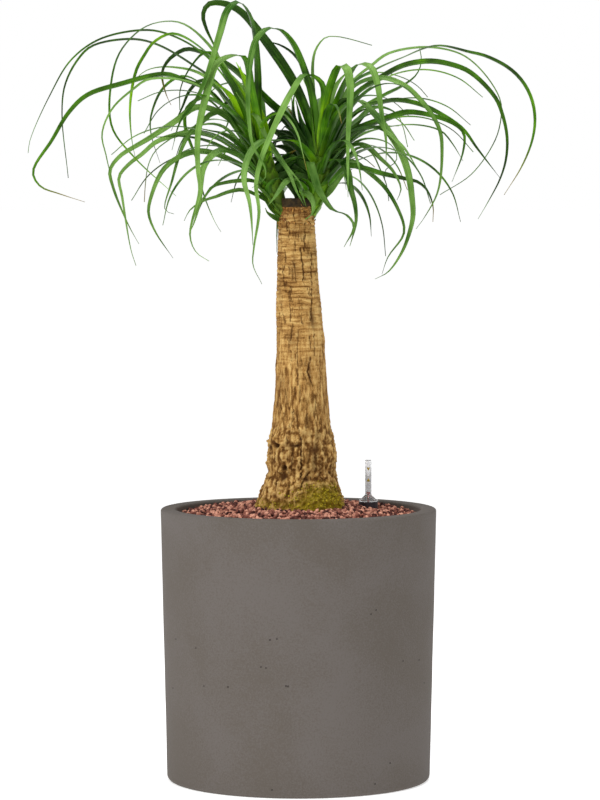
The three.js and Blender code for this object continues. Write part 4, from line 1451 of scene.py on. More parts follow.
@dataclass
class CutSeal:
    """The cap of wax over the sawn top, with a skirt that hugs the bark."""

    centre: float  # along X
    radius: float = 26.8
    top_radius: float = 26.7
    bore: float = 25.3
    skirt_bore: float = 25.8
    foot: float = 832
    underside: float = 842.3
    shoulder: float = 842.9
    middle: float = 844.2
    foot_round: float = 0.8
    edge_round: float = 1.6
    sides: int = 120
    uneven: Grain = Grain(7, 5, 2.9)
    lumpiness: float = 0.55
    outer_from: float = 25.9  # points further out or higher than this are outside
    upper_from: float = 843
    hem: float = 832.5  # and those lower than this run up and down
    raggedness: float = 1.6

    def build(self) -> None:
        """Make the cap and hand it over."""
        foot, edge = self.foot_round, self.edge_round
        outline = (
            (0, self.underside),
            (self.bore, self.underside),
            (self.skirt_bore, self.foot),
            *rounded((self.radius - foot, self.foot + foot), foot, -90, 0, 3),
            *stretch((self.radius, self.foot + foot), (self.top_radius, self.shoulder), 6),
            *rounded((self.top_radius - edge, self.shoulder), edge, 0, 90, 5),
            *stretch((self.top_radius - edge, self.shoulder + edge), (0, self.middle), 12),
            (0, self.middle),
        )
        wax = turned(outline, self.sides)
        places = np.array([vert.co for vert in wax.verts])
        for vert, out in zip(wax.verts, self.uneven.at(places)):
            away = vert.co.xy.length
            outside = away > self.outer_from or vert.co.z > self.upper_from
            if outside and away > 1:
                vert.co += vert.normal * out * self.lumpiness
            if vert.co.z < self.hem and outside:
                vert.co.z += self.raggedness * out
        bmesh.ops.translate(wax, vec=(self.centre, 0, 0), verts=wax.verts)
        Piece("cut_wax", wax, WoundWax().material(), Slot.WAX, ("cut_seal",)).hand_over()


# ---- Granules ----


@dataclass
class GranuleBed:
    """The clay granules: a bed coloured dark as painted shade and a loose layer of single granules on it.
    """

    planter: Planter
    cane: Cane
    wall_level: float = 382
    mound: float = 13
    mound_foot: float = 64
    mound_reach: float = 62
    back_rise: float = 9.5
    lowered: float = 3.4
    relief: float = 4  # how far the solid's own relief reaches down
    pitch: float = 6
    scatter: float = 1.7
    lift: Span = (-2.4, 2)
    sizes: Span = (2.7, 3.6)
    wall_gap: float = 3.6
    cane_gap: float = 62.5  # from the cane's middle
    gauge_gap: float = 2.4
    gauge: Triple = (102.5, 66, 14.6)  # where the gauge stands, and its free radius
    dip: float = 6.5  # how far the bed sinks at the gauge
    dip_reach: float = 17
    seed: int = 41

    def level(self, across: float, back: float) -> float:
        """Find the bed's level at a place, without its granules.

        Args:
            across: The place along X.
            back: The place along Y.

        Returns:
            The level.
        """
        away = max(0.0, math.hypot(across, back) - self.mound_foot) / self.mound_reach
        behind = self.back_rise * max(0.0, back / self.planter.inner(self.planter.height))
        beside = math.hypot(across - self.gauge[0], back - self.gauge[1]) - self.gauge[2]
        dip = self.dip * bell(max(0.0, beside), 0, self.dip_reach)
        return self.wall_level + self.mound * bell(away, 0, 1) + behind - dip

    def spots(self, draw: Draw) -> list[Vector]:
        """Where the granules lie.

        Args:
            draw: Where their scatter comes from.

        Returns:
            The granules' centres.
        """
        reach = self.planter.inner(self.planter.height) - self.wall_gap
        row_pitch = self.pitch * math.sqrt(3) / 2
        rows = int(reach / row_pitch) + 1
        columns = int(reach / self.pitch) + 1
        found = []
        for row in range(-rows, rows + 1):
            for column in range(-columns, columns + 1):
                across = (column + row % 2 / 2) * self.pitch + draw.between(-self.scatter, self.scatter)
                back = row * row_pitch + draw.between(-self.scatter, self.scatter)
                lift = draw.between(*self.lift)
                by_cane = math.hypot(across - self.cane.sections[0][2], back) < self.cane_gap
                beside = math.hypot(across - self.gauge[0], back - self.gauge[1]) - self.gauge[2]
                past_wall = math.hypot(across, back) > reach
                if not (by_cane or past_wall or beside < self.gauge_gap):
                    found.append(Vector((across, back, self.level(across, back) + lift)))
        return found

    def layer(self) -> Mesh:
        """Make the loose granules on the bed.

        Returns:
            Their mesh.
        """
        lumps = Lumps(self.seed)
        for spot in self.spots(lumps.draw):
            lumps.add(spot, lumps.draw.between(*self.sizes), lumps.draw())
        return lumps.finished()

    def bed(self) -> Mesh:
        """Make the bed under them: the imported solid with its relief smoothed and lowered.

        Returns:
            Its mesh.
        """
        mesh = bmesh.new()
        mesh.from_mesh(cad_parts["granules"].data)
        bmesh.ops.scale(mesh, vec=(1 / METRES,) * 3, verts=mesh.verts)
        bmesh.ops.remove_doubles(mesh, verts=mesh.verts, dist=0.01)
        for vert in mesh.verts:
            level = self.level(vert.co.x, vert.co.y)
            if vert.co.z > level - self.relief:
                vert.co.z = level - self.lowered
        return mesh

    def build(self) -> None:
        """Make both and hand them over."""
        bed = self.bed()
        # The bed's dark colour is painted shade between the granules
        Piece("granule_shadow_bed", bed, ShadowBed().material(), Slot.GRANULE, ("granules",)).hand_over()
        fired, loose = ClayGranule().material(), self.layer()
        Piece("granule_layer", loose, fired, Slot.GRANULE, ("granules",)).hand_over(SMOOTH)


# ---- Leaves ----


@dataclass
class Strap:
    """One leaf, on the points of its course."""

    points: list[Vector]
    width: float
    turn: float
    twist: float
    tone: float
    dry: float = 0.0


@dataclass(frozen=True)
class BladeForm:
    """How every leaf's blade is formed, finer and a little fuller than the solid's."""

    pace: float = 8.5
    fewest: int = 14
    most: int = 64
    sides: int = 12
    thickness: float = 0.75
    keel: float = 1.5
    tip_keel: float = 0.9
    keel_power: float = 1.3
    thinning: float = 0.5  # the share of its thickness that is gone at the tip
    flare: float = 0.3
    flare_reach: float = 0.07
    taper: float = 0.57
    taper_power: float = 0.85
    tip_width: float = 0.7
    sheathed: Span = (0.1, 0)  # along the blade, where the root's colour starts and is full
    sheath_strength: float = 0.55
    dried: Span = (0.86, 0.96)  # where a dry tip starts and is full

    def widths(self, width: float, shares: np.ndarray) -> np.ndarray:
        """Find the blade's width along its length.

        Args:
            width: The leaf's own width.
            shares: Shares of its length.

        Returns:
            The width at each share.
        """
        flare = 1 + self.flare * np.exp(-shares / self.flare_reach)
        taper = np.minimum(1, (1 - shares) / self.taper) ** self.taper_power
        return np.maximum(self.tip_width, width * flare * taper)

    @staticmethod
    def level(points: Sequence[Vector]) -> Vector:
        """Find the level direction across a leaf, square to where it heads.

        Args:
            points: The leaf's course.

        Returns:
            The direction.
        """
        root = points[0]
        far = max(points, key=lambda point: (point - root).xy.length)
        return Vector((far.y - root.y, root.x - far.x, 0)).normalized()

    def frames(self, strap: Strap, count: int) -> tuple[np.ndarray, np.ndarray, np.ndarray]:
        """The blade's middle line, with its directions across and up.

        Args:
            strap: The leaf.
            count: How many stretches the line has.

        Returns:
            The places, the directions across and the directions up.
        """
        spine = Curve(strap.points).spaced(count)
        level = self.level(strap.points)
        way = 1 if level.y <= 0 else -1
        turn, twist = math.radians(strap.turn) * abs(level.y), math.radians(strap.twist)
        sides, ups = [], []
        for at in range(count + 1):
            along = (spine[min(at + 1, count)] - spine[max(at - 1, 0)]).normalized()
            side = (level - along * level.dot(along)).normalized()
            roll = way * (turn + twist * at / count)
            side.rotate(Matrix.Rotation(roll, 3, along))
            sides.append(side)
            ups.append(side.cross(along))
        return np.array(spine), np.array(sides), np.array(ups)

    def blade(self, strap: Strap) -> Mesh:
        """Make a leaf as a thin closed channel.

        Args:
            strap: The leaf.

        Returns:
            Its mesh.
        """
        wanted = round(Curve(strap.points).length() / self.pace)
        count = max(self.fewest, min(self.most, wanted))
        spine, sides, ups = self.frames(strap, count)

        def shape(turns: np.ndarray, runs: np.ndarray) -> Dressed:
            """Place the blade's points and mark its finish.

            Args:
                turns: Shares round the blade.
                runs: Shares along it.

            Returns:
                The places and the marks.
            """
            row = np.rint(runs * count).astype(int)
            angle = 2 * math.pi * turns
            half = self.widths(strap.width, runs) / 2
            out = np.cos(angle)
            keel = mixed(self.keel, self.tip_keel, runs) * (1 - np.abs(out)) ** self.keel_power
            lift = self.thickness * (1 - self.thinning * runs) / 2 * np.sin(angle) - keel
            places = spine[row] + sides[row] * (half * out)[:, None] + ups[row] * lift[:, None]
            marks = {
                "tone": np.full_like(runs, strap.tone),
                "upper_face_sheen": np.clip(0.5 + 2 * np.sin(angle), 0, 1),
                "root": ramp(runs, *self.sheathed) * self.sheath_strength,
                "dry": strap.dry * ramp(runs, *self.dried),
            }
            return places, marks

        return sleeve(self.sides, count, shape)


def add_blade(whole: Mesh, blade: Mesh) -> None:
    """Join a blade to a mesh and free it.

    Args:
        whole: The mesh.
        blade: The blade.
    """
    scrap = bpy.data.meshes.new("blade")
    blade.to_mesh(scrap)
    blade.free()
    whole.from_mesh(scrap)
    bpy.data.meshes.remove(scrap)


@dataclass(frozen=True)
class Sector:
    """A spread of leaves that no front view tells apart. They follow a rule."""

    start: float
    end: float
    count: int
    lengths: Span
    rises: Span
    seed: int


@dataclass(frozen=True)
class SectorRule:
    """The rule: each leaf turns on by the golden angle, rises and arches over."""

    turn: float = 0.618034
    turn_draw: float = 0.08
    steps: int = 7
    bend: Span = (95, 135)
    bend_power: float = 1.3
    drift: float = 0.25
    width: Span = (8, 11.5)
    twist: float = 30
    root: Span = (0.35, 0.98)
    tone: Span = (0.25, 0.65)


@dataclass(frozen=True)
class CoreForm:
    """How a shoot's core is wrapped in the bases of old leaves."""

    rows: int = 54
    sides: int = 48
    tiers: float = 7  # of bases, foot to growing point
    bases: int = 5  # in a tier
    point: float = 0.6  # how far a base's middle runs ahead of its sides, in tiers
    radius: float = 0.93  # at a base's foot, as a share of the core's
    swell: float = 0.1  # how much more it is at the base's edge
    flutes: int = 7
    flute: float = 0.02
    tone: Span = (0.1, 0.45)
    sheath: Span = (0.1, 0.4)
    dryness: float = 0.7
    dry_reach: float = 0.3


# A leaf read in the front view: its root's place on the core, 0 at the foot and 1 at
# the growing point, how far its tip ends behind the root, its width, how far its face
# is turned to the viewer and how much further it turns to the tip, in degrees, its
# tone, 0 deep green to 1 young, and its course outwards
Reading = tuple[float, float, float, float, float, float, Course]
Readings = tuple[Reading, ...]


@dataclass
class Shoot:
    """One leafy shoot: its core and its leaves, grown together."""

    name: str
    stands_for: str
    core: tuple[Triple, ...]
    radii: tuple[float, ...]
    leaves: Readings
    sectors: tuple[Sector, ...]
    inner: Readings = ()  # short leaves and sheaths inside the crown
    dry_every: int = 9  # every ninth leaf's tip has dried
    dryness: float = 0.85
    rule: SectorRule = SectorRule()
    form: BladeForm = BladeForm()
    wrap: CoreForm = CoreForm()

    def curve(self) -> Curve:
        """The core's middle line."""
        return Curve([Vector(point) for point in self.core])

    def read_strap(self, leaf: Reading) -> Strap:
        """A leaf from its reading in the front view.

        Args:
            leaf: The reading.

        Returns:
            The leaf, from its root on the core.
        """
        root, lean, width, turn, twist, tone, course = leaf
        start, seen = self.curve().at(root), spots(course)
        flat = [start] + [VIEW.place(spot, start.y) for spot in seen]
        runs = np.cumsum([(two - one).length for one, two in zip(flat, flat[1:])])
        leans = start.y + lean * runs / runs[-1]
        points = [VIEW.place(spot, depth) for spot, depth in zip(seen, leans)]
        return Strap([start, *points], width, turn, twist, tone)

    def sector_straps(self, sector: Sector) -> list[Strap]:
        """The leaves of a sector.

        Args:
            sector: The sector.

        Returns:
            Its leaves.
        """
        draw, rule, core = Draw(sector.seed), self.rule, self.curve()
        straps = []
        for at in range(sector.count):
            turn = (rule.turn * (at + 1) + rule.turn_draw * draw()) % 1
            young = (at + draw()) / sector.count
            heading = math.radians(mixed(sector.start, sector.end, turn))
            bend = math.radians(draw.between(*rule.bend))
            start = math.radians(mixed(*sector.rises, young))
            pace = draw.between(*sector.lengths) / rule.steps
            drift = rule.drift * (2 * draw() - 1)
            points = [core.at(mixed(*rule.root, young))]
            for step in range(rule.steps):
                share = (step + 0.5) / rule.steps
                climb = start - bend * share**rule.bend_power
                away = heading + drift * share
                ahead = Vector((math.cos(away), math.sin(away), 0)) * math.cos(climb)
                points.append(points[-1] + (ahead + Vector((0, 0, math.sin(climb)))) * pace)
            width = draw.between(*rule.width)
            twist = rule.twist * (2 * draw() - 1)
            straps.append(Strap(points, width, 0, twist, mixed(*rule.tone, young * draw())))
        return straps

    def straps(self) -> list[Strap]:
        """Gather the shoot's leaves.

        Returns:
            All of them.
        """
        straps = [self.read_strap(leaf) for leaf in self.leaves + self.inner]
        for sector in self.sectors:
            straps += self.sector_straps(sector)
        for strap in straps[:: self.dry_every]:
            strap.dry = self.dryness
        return straps

    def core_mesh(self) -> Mesh:
        """Make the core that the leaves grow from, wrapped in the bases of old leaves.

        Returns:
            Its mesh.
        """
        curve, wrap = self.curve(), self.wrap
        frames = []
        for row in range(wrap.rows + 1):
            along = curve.tangent(row / wrap.rows)
            right = Vector((0, 1, 0)).cross(along).normalized()
            frames.append((curve.at(row / wrap.rows), right, along.cross(right)))
        centres, rights, fronts = (np.array(column) for column in zip(*frames))

        def shape(turns: np.ndarray, runs: np.ndarray) -> Dressed:
            """Place the core's points and mark its finish.

            Args:
                turns: Shares round the core.
                runs: Shares along it.

            Returns:
                The places and the marks.
            """
            row = np.rint(runs * wrap.rows).astype(int)
            angle = 2 * math.pi * turns
            ahead = np.abs(2 * (wrap.bases * turns % 1) - 1)
            scale = (runs * wrap.tiers + wrap.point * ahead) % 1
            radius = np.interp(runs, np.linspace(0, 1, len(self.radii)), self.radii)
            flutes = wrap.flute * np.sin(wrap.flutes * angle)
            radius = radius * (wrap.radius + wrap.swell * scale**2 + flutes)
            places = (
                centres[row]
                + rights[row] * (radius * np.cos(angle))[:, None]
                + fronts[row] * (radius * np.sin(angle))[:, None]
            )
            marks = {
                "tone": mixed(*wrap.tone, scale),
                "upper_face_sheen": 0 * runs,
                "root": mixed(*wrap.sheath, scale),
                "dry": wrap.dryness * ramp(runs, wrap.dry_reach, 0) * (1 - scale),
            }
            return places, marks

        return sleeve(wrap.sides, wrap.rows, shape)

    def build(self, skin: Material) -> None:
        """Make the shoot and hand it over.

        Args:
            skin: The leaves' finish.
        """
        whole = self.core_mesh()
        for strap in self.straps():
            add_blade(whole, self.form.blade(strap))
        Piece(self.name, whole, skin, Slot.LEAF, (self.stands_for,)).hand_over(SMOOTH)


LEFT_LEAVES: Readings = (
    # Long arches to the far left
    (0.75, -70, 10, 0, -110, 0.25, (213, 94, 182, 79, 165, 74, 120, 84, 87, 95, 69, 112, 52, 140, 33, 172,
      40, 186, 60, 194, 85, 202)),
    (0.9, 95, 6, -30, -10, 0.35, (245, 110, 215, 65, 196, 48, 168, 34, 145, 30, 100, 39, 71, 60, 50, 95,
      30, 140, 28, 153)),
    (0.85, 25, 9.5, 70, -140, 0.5, (240, 95, 209, 45, 182, 23, 160, 21.5, 141, 29, 120, 52, 111, 84, 112,
      127, 134, 157, 176, 196)),
    (0.888, -40, 10, 90, -210, 0.45, (238, 88, 204, 50, 173, 33.5, 154, 42, 145, 54, 136, 71, 130, 107,
      132, 141, 135, 156)),
    (0.8, 130, 8, -60, 50, 0.2, (224, 90, 190, 63, 156, 44, 131, 39, 92, 46, 77.5, 60, 65, 85, 62, 115,
      68, 178)),
    (0.55, -95, 6, 30, 20, 0.55, (205, 89, 150, 79, 132, 90, 112, 109, 102, 134, 106, 155, 112, 180, 120,
      205)),
    # Broad pale leaves that fall towards the viewer
    (0.95, -170, 12, -30, 75, 0.6, (252, 90, 243, 56, 218, 62, 206, 96, 198, 134, 198, 169, 200, 190, 190,
      235, 196, 252, 209, 261)),
    (0.905, -105, 14.5, -45, 110, 0.35, (258, 119, 258, 75, 255, 35, 249, 13, 239, 1.5, 228, 9, 220, 33,
      212, 60, 206, 78, 196, 100, 180, 122, 172, 150)),
    (0.938, -70, 9, 10, 20, 0.6, (246, 130, 249, 114, 254, 113.5, 259, 121, 265, 135, 271, 144, 277,
      152.5, 286.5, 166, 299, 181, 306, 193)),
    (0.926, -120, 7, 10, -22, 0.6, (262, 125, 272, 115, 281.6, 113, 291, 122, 297.5, 134, 302.5, 152.5,
      307, 170)),
    (0.788, -75, 9, 20, 20, 0.5, (266, 160, 272, 150, 281, 160, 289, 172, 296, 190, 304, 205)),
    # Shorter arches over the left of the crown
    (0.838, -30, 11.5, -55, 20, 0.3, (230, 80, 207, 52, 190, 68, 180, 90, 179.5, 110)),
    (0.6, 60, 11, -60, 10, 0.25, (235, 110, 203, 80, 190, 90, 182, 108, 171, 131)),
    (0.588, 120, 8, 35, 30, 0.6, (209, 79, 172, 67, 147, 70, 134, 80)),
    (0.5, 150, 7, -30, -30, 0.4, (218, 100, 185, 76, 164, 87, 151, 116, 151, 134, 160, 163)),
    (0.538, -55, 10.5, 50, 20, 0.5, (228, 118, 197, 107, 177, 120, 165, 128, 147, 139.5, 134, 147, 120,
      156, 110, 170, 113, 187, 123, 213, 131, 230, 139, 244)),
    (0.576, -20, 10, 45, 20, 0.45, (250, 139, 240, 116, 226, 111, 211, 114, 203, 121, 190, 133, 181, 150,
      172, 181, 165, 210, 174, 214)),
    (0.488, 85, 7, -30, -30, 0.4, (222, 112, 203, 98, 187, 108, 185, 126, 190, 142, 198, 163, 202, 189,
      215, 222, 221, 232)),
    (0.476, 110, 6.5, 24, 25, 0.45, (222, 126, 190, 128, 167, 141, 155, 151, 148, 165, 145, 185, 144,
      202)),
    # The low fan at the left
    (0.464, 70, 6.5, 30, 30, 0.35, (249, 148, 235, 138, 225, 133.5, 212, 131, 200, 128.6, 186, 127)),
    (0.42, 35, 10, 45, 20, 0.45, (240, 152, 229, 144, 219, 138, 200, 132.5, 184, 133, 172, 136, 156, 142,
      142, 154, 128, 165, 119, 177, 122, 196, 131, 250, 136, 266)),
    (0.408, 0, 10, -50, 10, 0.25, (248, 161, 229, 151, 212, 142.5, 196, 138, 177, 136, 156, 137)),
    (0.35, -35, 10, 50, 20, 0.5, (252, 172, 233, 161, 216.5, 154, 201, 151, 183, 155, 163, 170, 149, 205,
      149, 216, 156, 233, 173, 258)),
    (0.452, -110, 12, 30, 40, 0.55, (240, 158, 222, 150, 209, 158, 203, 169, 201, 185, 200, 200, 194, 223,
      189, 234)),
    (0.3, -60, 9.5, 30, 32, 0.35, (254, 181, 243, 180.5, 228, 182, 212, 187, 205, 196, 196, 206)),
    (0.28, -15, 8.5, 30, 30, 0.45, (244, 190, 228, 192, 215, 197, 205, 200, 190, 210, 184, 221)),
    (0.12, -14, 11, 60, 10, 0.6, (281, 219, 273, 216.5, 267, 212, 265.6, 208)),
    # Inner leaves and sheaths
    (0.914, 25, 20, 58, 10, 1, (258, 122, 247, 98, 232, 78, 217, 62)),
    (0.876, 60, 16, -65, 10, 0.1, (262, 140, 259, 122, 249, 106, 238, 99, 224, 104, 215, 111)),
    (0.564, 42, 16, -65, -10, 0.08, (266, 165, 267, 145, 272, 124, 281, 113, 289, 118)),
    (0.44, 40, 14, -65, 10, 0.1, (268, 178, 270, 158, 277, 140, 289, 137, 299, 147)),
    (0.7, -20, 14, 55, 10, 0.8, (258, 150, 252, 128, 246, 108, 236, 92)),
    (0.2, -30, 18, 55, 10, 0.85, (280, 209, 274, 202, 266, 193, 256, 186)),
    (0.338, -40, 11, -60, 10, 0.3, (268, 192, 270, 184, 279, 178, 286, 182)),
    (0.962, 10, 16, 60, 10, 0.95, (259, 125, 254, 108, 246, 88, 240, 66)),
    (0.776, 30, 14, -70, 10, 0.1, (257, 150, 247, 130, 232, 118, 215, 109)),
    (0.738, 80, 15, -70, 0, 0.05, (263, 130, 262, 100, 258, 72)),
    (0.45, 4, 14, -70, 0, 0.1, (272, 178, 281, 166, 294, 158.5, 307, 158)),
    (0.526, 10, 14, -70, 0, 0.06, (270, 176, 267, 158, 268, 142, 275, 130)),
    (0.65, 20, 14, -60, 0, 0.15, (255, 165, 245, 150, 230, 138, 214, 131)),
)
LEFT_INNER: Readings = (
    (0.8, -8, 22, -60, 0, 0.85, (262, 140, 250, 112, 238, 88, 224, 68)),
    (0.75, -10, 22, -60, 0, 0.95, (258, 140, 243, 115, 230, 95, 215, 82)),
    (0.85, -6, 20, -60, 0, 0.8, (264, 135, 256, 108, 247, 84, 236, 62)),
    (0.66, 20, 24, -80, 0, 0.03, (266, 160, 270, 142, 275, 128, 283, 119)),
    (0.35, 8, 24, -80, 0, 0.04, (272, 196, 277, 180, 286, 168, 298, 160)),
    (0.5, 15, 22, -70, 0, 0.05, (272, 186, 276, 170, 284, 158, 296, 150)),
    (0.4, 5, 22, -70, 0, 0.08, (270, 196, 275, 184, 286, 174, 300, 170)),
    (0.6, 25, 22, -70, 0, 0.06, (270, 165, 274, 148, 280, 132, 287, 124)),
    (0.7, 12, 20, -70, 0, 0.1, (266, 150, 270, 128, 278, 112, 290, 106)),
    (0.3, -14, 19, 40, 0, 0.3, (274, 204, 267, 190, 259, 176)),
    (0.18, -12, 19, 45, 0, 0.55, (275, 210, 266, 199, 255, 188)),
    (0.5, -12, 18, 40, 0, 0.15, (270, 186, 265, 170, 258, 154)),
    (0.62, -10, 17, 40, 0, 0.3, (267, 170, 262, 150, 254, 130)),
    (0.42, 14, 16, 60, 0, 0.1, (268, 186, 256, 172, 243, 163)),
    (0.55, 10, 16, 60, 0, 0.12, (262, 172, 248, 156, 233, 147)),
    (0.7, 14, 15, 60, 0, 0.2, (262, 150, 249, 132, 236, 118, 222, 110)),
)
LEFT_SHOOT = Shoot(
    name="leaves_left",
    stands_for="head_left",
    core=((-9, -3, 808), (-26, -5, 832), (-42, -7, 866), (-50, -8, 904)),
    radii=(9, 12, 17, 12),
    leaves=LEFT_LEAVES,
    sectors=(
        Sector(190, 248, 5, (190, 320), (44, 76), 3),
        Sector(98, 165, 5, (210, 330), (40, 72), 5),
    ),
    inner=LEFT_INNER,
)

RIGHT_LEAVES: Readings = (
    # Long arches to the far right
    (0.85, -60, 10.5, 80, -200, 0.35, (350, 86, 376, 69, 400, 58, 436, 45.5, 470, 52, 486, 56, 509, 68,
      523, 82, 532, 100, 535, 120, 532, 141, 522, 166, 504, 195)),
    (0.8, 40, 9.5, -45, -30, 0.25, (352, 98, 380, 77.5, 404, 65, 429, 61, 450, 64, 470, 72, 495, 97, 502,
      113, 507, 136, 506, 159, 500, 179, 488, 202, 478, 219)),
    (0.9, 125, 6, 28, 20, 0.45, (350, 85, 372, 65, 388, 53.5, 425, 47, 456, 52, 472, 61, 491, 82, 501,
      102, 501, 120, 495, 141, 472, 174, 440, 195)),
    (0.7, 30, 10.5, 0, -90, 0.3, (355, 112, 386, 101, 400, 100, 421, 104.5, 441, 114, 463, 129, 477, 148,
      500, 178)),
    (0.6, -25, 10, -55, -30, 0.25, (350, 134, 387, 118, 407, 112, 434, 116, 456, 125, 464, 134, 463, 152,
      452, 182)),
    (0.588, 85, 9, 70, -120, 0.5, (352, 140, 386, 127, 415, 124.5, 441, 131, 452, 143, 463, 161)),
    (0.788, 100, 12, -55, -10, 0.45, (350, 118, 384, 95, 402, 86, 416, 75, 421, 62, 419, 46)),
    (0.838, -85, 9.5, 45, 10, 0.55, (352, 88, 381, 77.5, 404, 85, 418, 97, 431, 113, 440, 131, 442, 149,
      438, 191, 424, 218, 416, 229)),
    (0.888, 130, 5.5, 20, 20, 0.5, (350, 86, 376, 72.5, 402, 77, 418, 86, 428, 97)),
    (0.4, -45, 10, -50, -20, 0.3, (348, 166, 363, 168, 383, 173.6, 407, 179, 418, 182, 427, 190, 433, 206,
      433, 222)),
    # Broad pale leaves that fall towards the viewer
    (1, -120, 13.5, -20, 60, 0.5, (325, 135, 336, 103, 348, 77, 358, 64, 370, 66, 377, 82, 381, 109, 386,
      140, 386, 163)),
    (0.988, -135, 13, -20, 40, 0.7, (321, 145, 324, 112, 331, 83, 340, 65, 346, 67, 350, 83, 350, 103,
      348, 140, 348, 197)),
    (0.876, -150, 14, -20, 60, 0.5, (327, 140, 340, 110, 358, 100, 374, 113, 388, 131, 400, 150, 408, 172,
      412, 198, 413, 216, 409, 234, 402, 252, 388, 272, 375, 279)),
    (0.55, -95, 13.5, 10, -16, 0.5, (322, 164, 332, 159, 341.6, 161, 348, 173, 350, 186, 355, 205, 356,
      222, 350, 246)),
    (0.5, -110, 13, 10, -20, 0.5, (310, 161, 313.5, 173, 318, 188, 326, 201.5, 333, 210, 346, 214.5, 354,
      226, 344, 247)),
    (0.688, -60, 11, 26, 20, 0.5, (331, 155, 350, 145, 365, 145, 380, 158, 393, 171, 401, 189, 397, 200)),
    (0.75, -100, 12.5, 20, 20, 0.4, (345, 134, 380, 128, 397, 141, 405, 149, 417, 168)),
    # Leaves that cross over to the left
    (0.976, 70, 16, -78, -10, 0.12, (316, 140, 295, 85, 262, 36, 240, 11, 222, 3, 208, 4.5, 203, 15, 206,
      28, 213, 43, 222, 62)),
    (0.826, 105, 14, -80, 30, 0.08, (309, 152, 299, 135, 289, 119, 272, 104, 250, 83, 225, 63, 188, 49,
      175, 54.5, 167, 62, 162, 73, 166, 94, 171, 105)),
    (0.964, -124, 12, -50, 90, 0.4, (317, 138, 313, 100, 306, 74, 293, 43, 281, 30, 274, 28, 268, 28, 257,
      38, 251, 57, 248, 90, 249, 120, 253, 146, 265, 168, 265, 178, 252, 188)),
    (0.952, -172, 10, -30, 60, 0.6, (323, 120, 323, 86, 317, 78, 305, 74, 291, 93, 281, 112, 272, 132,
      261, 160, 256, 185, 259, 212, 254, 247, 253, 265, 262, 284)),
    (0.814, -170, 12, -40, 80, 0.5, (313, 159, 304, 148, 295, 141, 285, 139.5, 274, 140, 264, 140, 255,
      146, 247, 160, 244, 180, 249, 200, 251, 214, 253, 245)),
    (0.864, 60, 14, -75, 0, 0.1, (314, 100, 297, 58, 280, 45, 262, 41)),
    (0.95, 95, 6, 30, -20, 0.55, (315, 110, 313, 61, 317, 47, 326, 37, 335, 36, 347, 38, 372, 45)),
    # Inner and short leaves
    (0.94, -25, 17, 75, 10, 1, (318, 150, 315, 129, 310, 95, 303, 78)),
    (0.938, -45, 14, -60, -20, 0.12, (322, 150, 327, 125, 336, 106, 348, 99, 366, 104)),
    (0.576, 60, 9, 45, 30, 0.35, (350, 137, 374, 127, 399, 126)),
    (0.538, 55, 8, 30, 30, 0.4, (352, 155, 365, 159, 375, 167)),
    (0.45, -10, 8, 40, 30, 0.45, (351, 161, 367, 171, 381, 183, 387, 190, 397, 207, 404, 226, 403, 236,
      388, 257, 382, 274)),
    (0.488, 20, 6.5, 24, 25, 0.4, (360, 147, 371, 152, 381, 171, 387, 186, 389, 201)),
    (0.564, 145, 9.5, 45, 30, 0.45, (372, 108, 396, 113, 403, 126, 408, 147)),
    (0.65, 100, 6, 20, 25, 0.5, (360, 140, 389, 143, 397, 154, 396, 162, 386, 170, 385, 180)),
    (0.3, -95, 14, 20, 20, 0.5, (302, 183, 295, 179, 288, 180, 281, 188, 275, 197, 268, 205)),
    (0.35, -75, 11, 20, -20, 0.8, (302, 190, 309, 195, 313.5, 204, 312, 214, 305, 219)),
    (0.926, 20, 16, 70, 10, 0.95, (322, 130, 328, 106, 337, 84, 349, 70)),
    (0.852, 45, 14, -70, 10, 0.1, (318, 140, 308, 112, 300, 98, 291, 93)),
    (0.388, -30, 15, 65, 10, 0.7, (324, 196, 333, 187, 342, 176, 352, 169)),
    (0.288, -60, 9, 30, 20, 0.5, (311, 186, 303, 179, 296, 178, 300, 188, 306, 206)),
    (0.738, 50, 13, -65, 10, 0.1, (336, 140, 346, 118, 352, 104, 360, 92)),
    (0.476, 15, 13, -65, 10, 0.08, (331, 172, 341, 158, 349, 146, 361, 140)),
    (0.676, 5, 14, -75, 0, 0.1, (316, 163.5, 313.5, 150, 307, 132, 300, 115)),
    (0.84, 40, 14, -70, 0, 0.1, (311, 152, 300, 135, 294, 120, 292, 98)),
    (0.552, 22, 12, -70, 0, 0.08, (309, 165, 300, 158, 288, 163, 277, 174)),
    (0.276, -20, 13, -60, 0, 0.15, (312, 185, 304, 181, 296, 179)),
    (0.928, 5, 15, 70, 10, 0.9, (321, 145, 320, 118, 325, 92, 334, 74)),
    (0.376, 10, 13, 60, 10, 0.3, (322, 185, 331, 172, 343, 163, 356, 158)),
)
RIGHT_INNER: Readings = (
    (0.5, 22, 24, -80, 0, 0.04, (314, 176, 305, 160, 296, 148, 284, 141)),
    (0.35, 12, 24, -80, 0, 0.03, (312, 194, 304, 180, 293, 168, 280, 163)),
    (0.68, 26, 22, -80, 0, 0.06, (316, 160, 308, 142, 300, 128, 288, 116)),
    (0.5, 15, 22, -75, 0, 0.06, (312, 180, 303, 168, 292, 158, 279, 154)),
    (0.6, 18, 23, -75, 0, 0.05, (312, 168, 304, 150, 296, 134, 284, 126)),
    (0.45, 8, 20, -70, 0, 0.08, (311, 186, 300, 178, 288, 172, 276, 170)),
    (0.7, 20, 22, -75, 0, 0.07, (314, 155, 306, 138, 300, 118, 296, 100)),
    (0.3, -14, 19, 40, 0, 0.35, (312, 204, 318, 190, 325, 176)),
    (0.18, -12, 19, 45, 0, 0.55, (314, 210, 322, 198, 332, 188)),
    (0.5, -12, 18, 40, 0, 0.15, (316, 186, 321, 168, 328, 152)),
    (0.42, 14, 16, 60, 0, 0.1, (324, 184, 336, 170, 349, 160)),
    (0.6, 12, 16, 60, 0, 0.14, (328, 165, 341, 148, 356, 137)),
    (0.75, 14, 15, 60, 0, 0.2, (330, 145, 341, 127, 355, 114, 368, 108)),
)
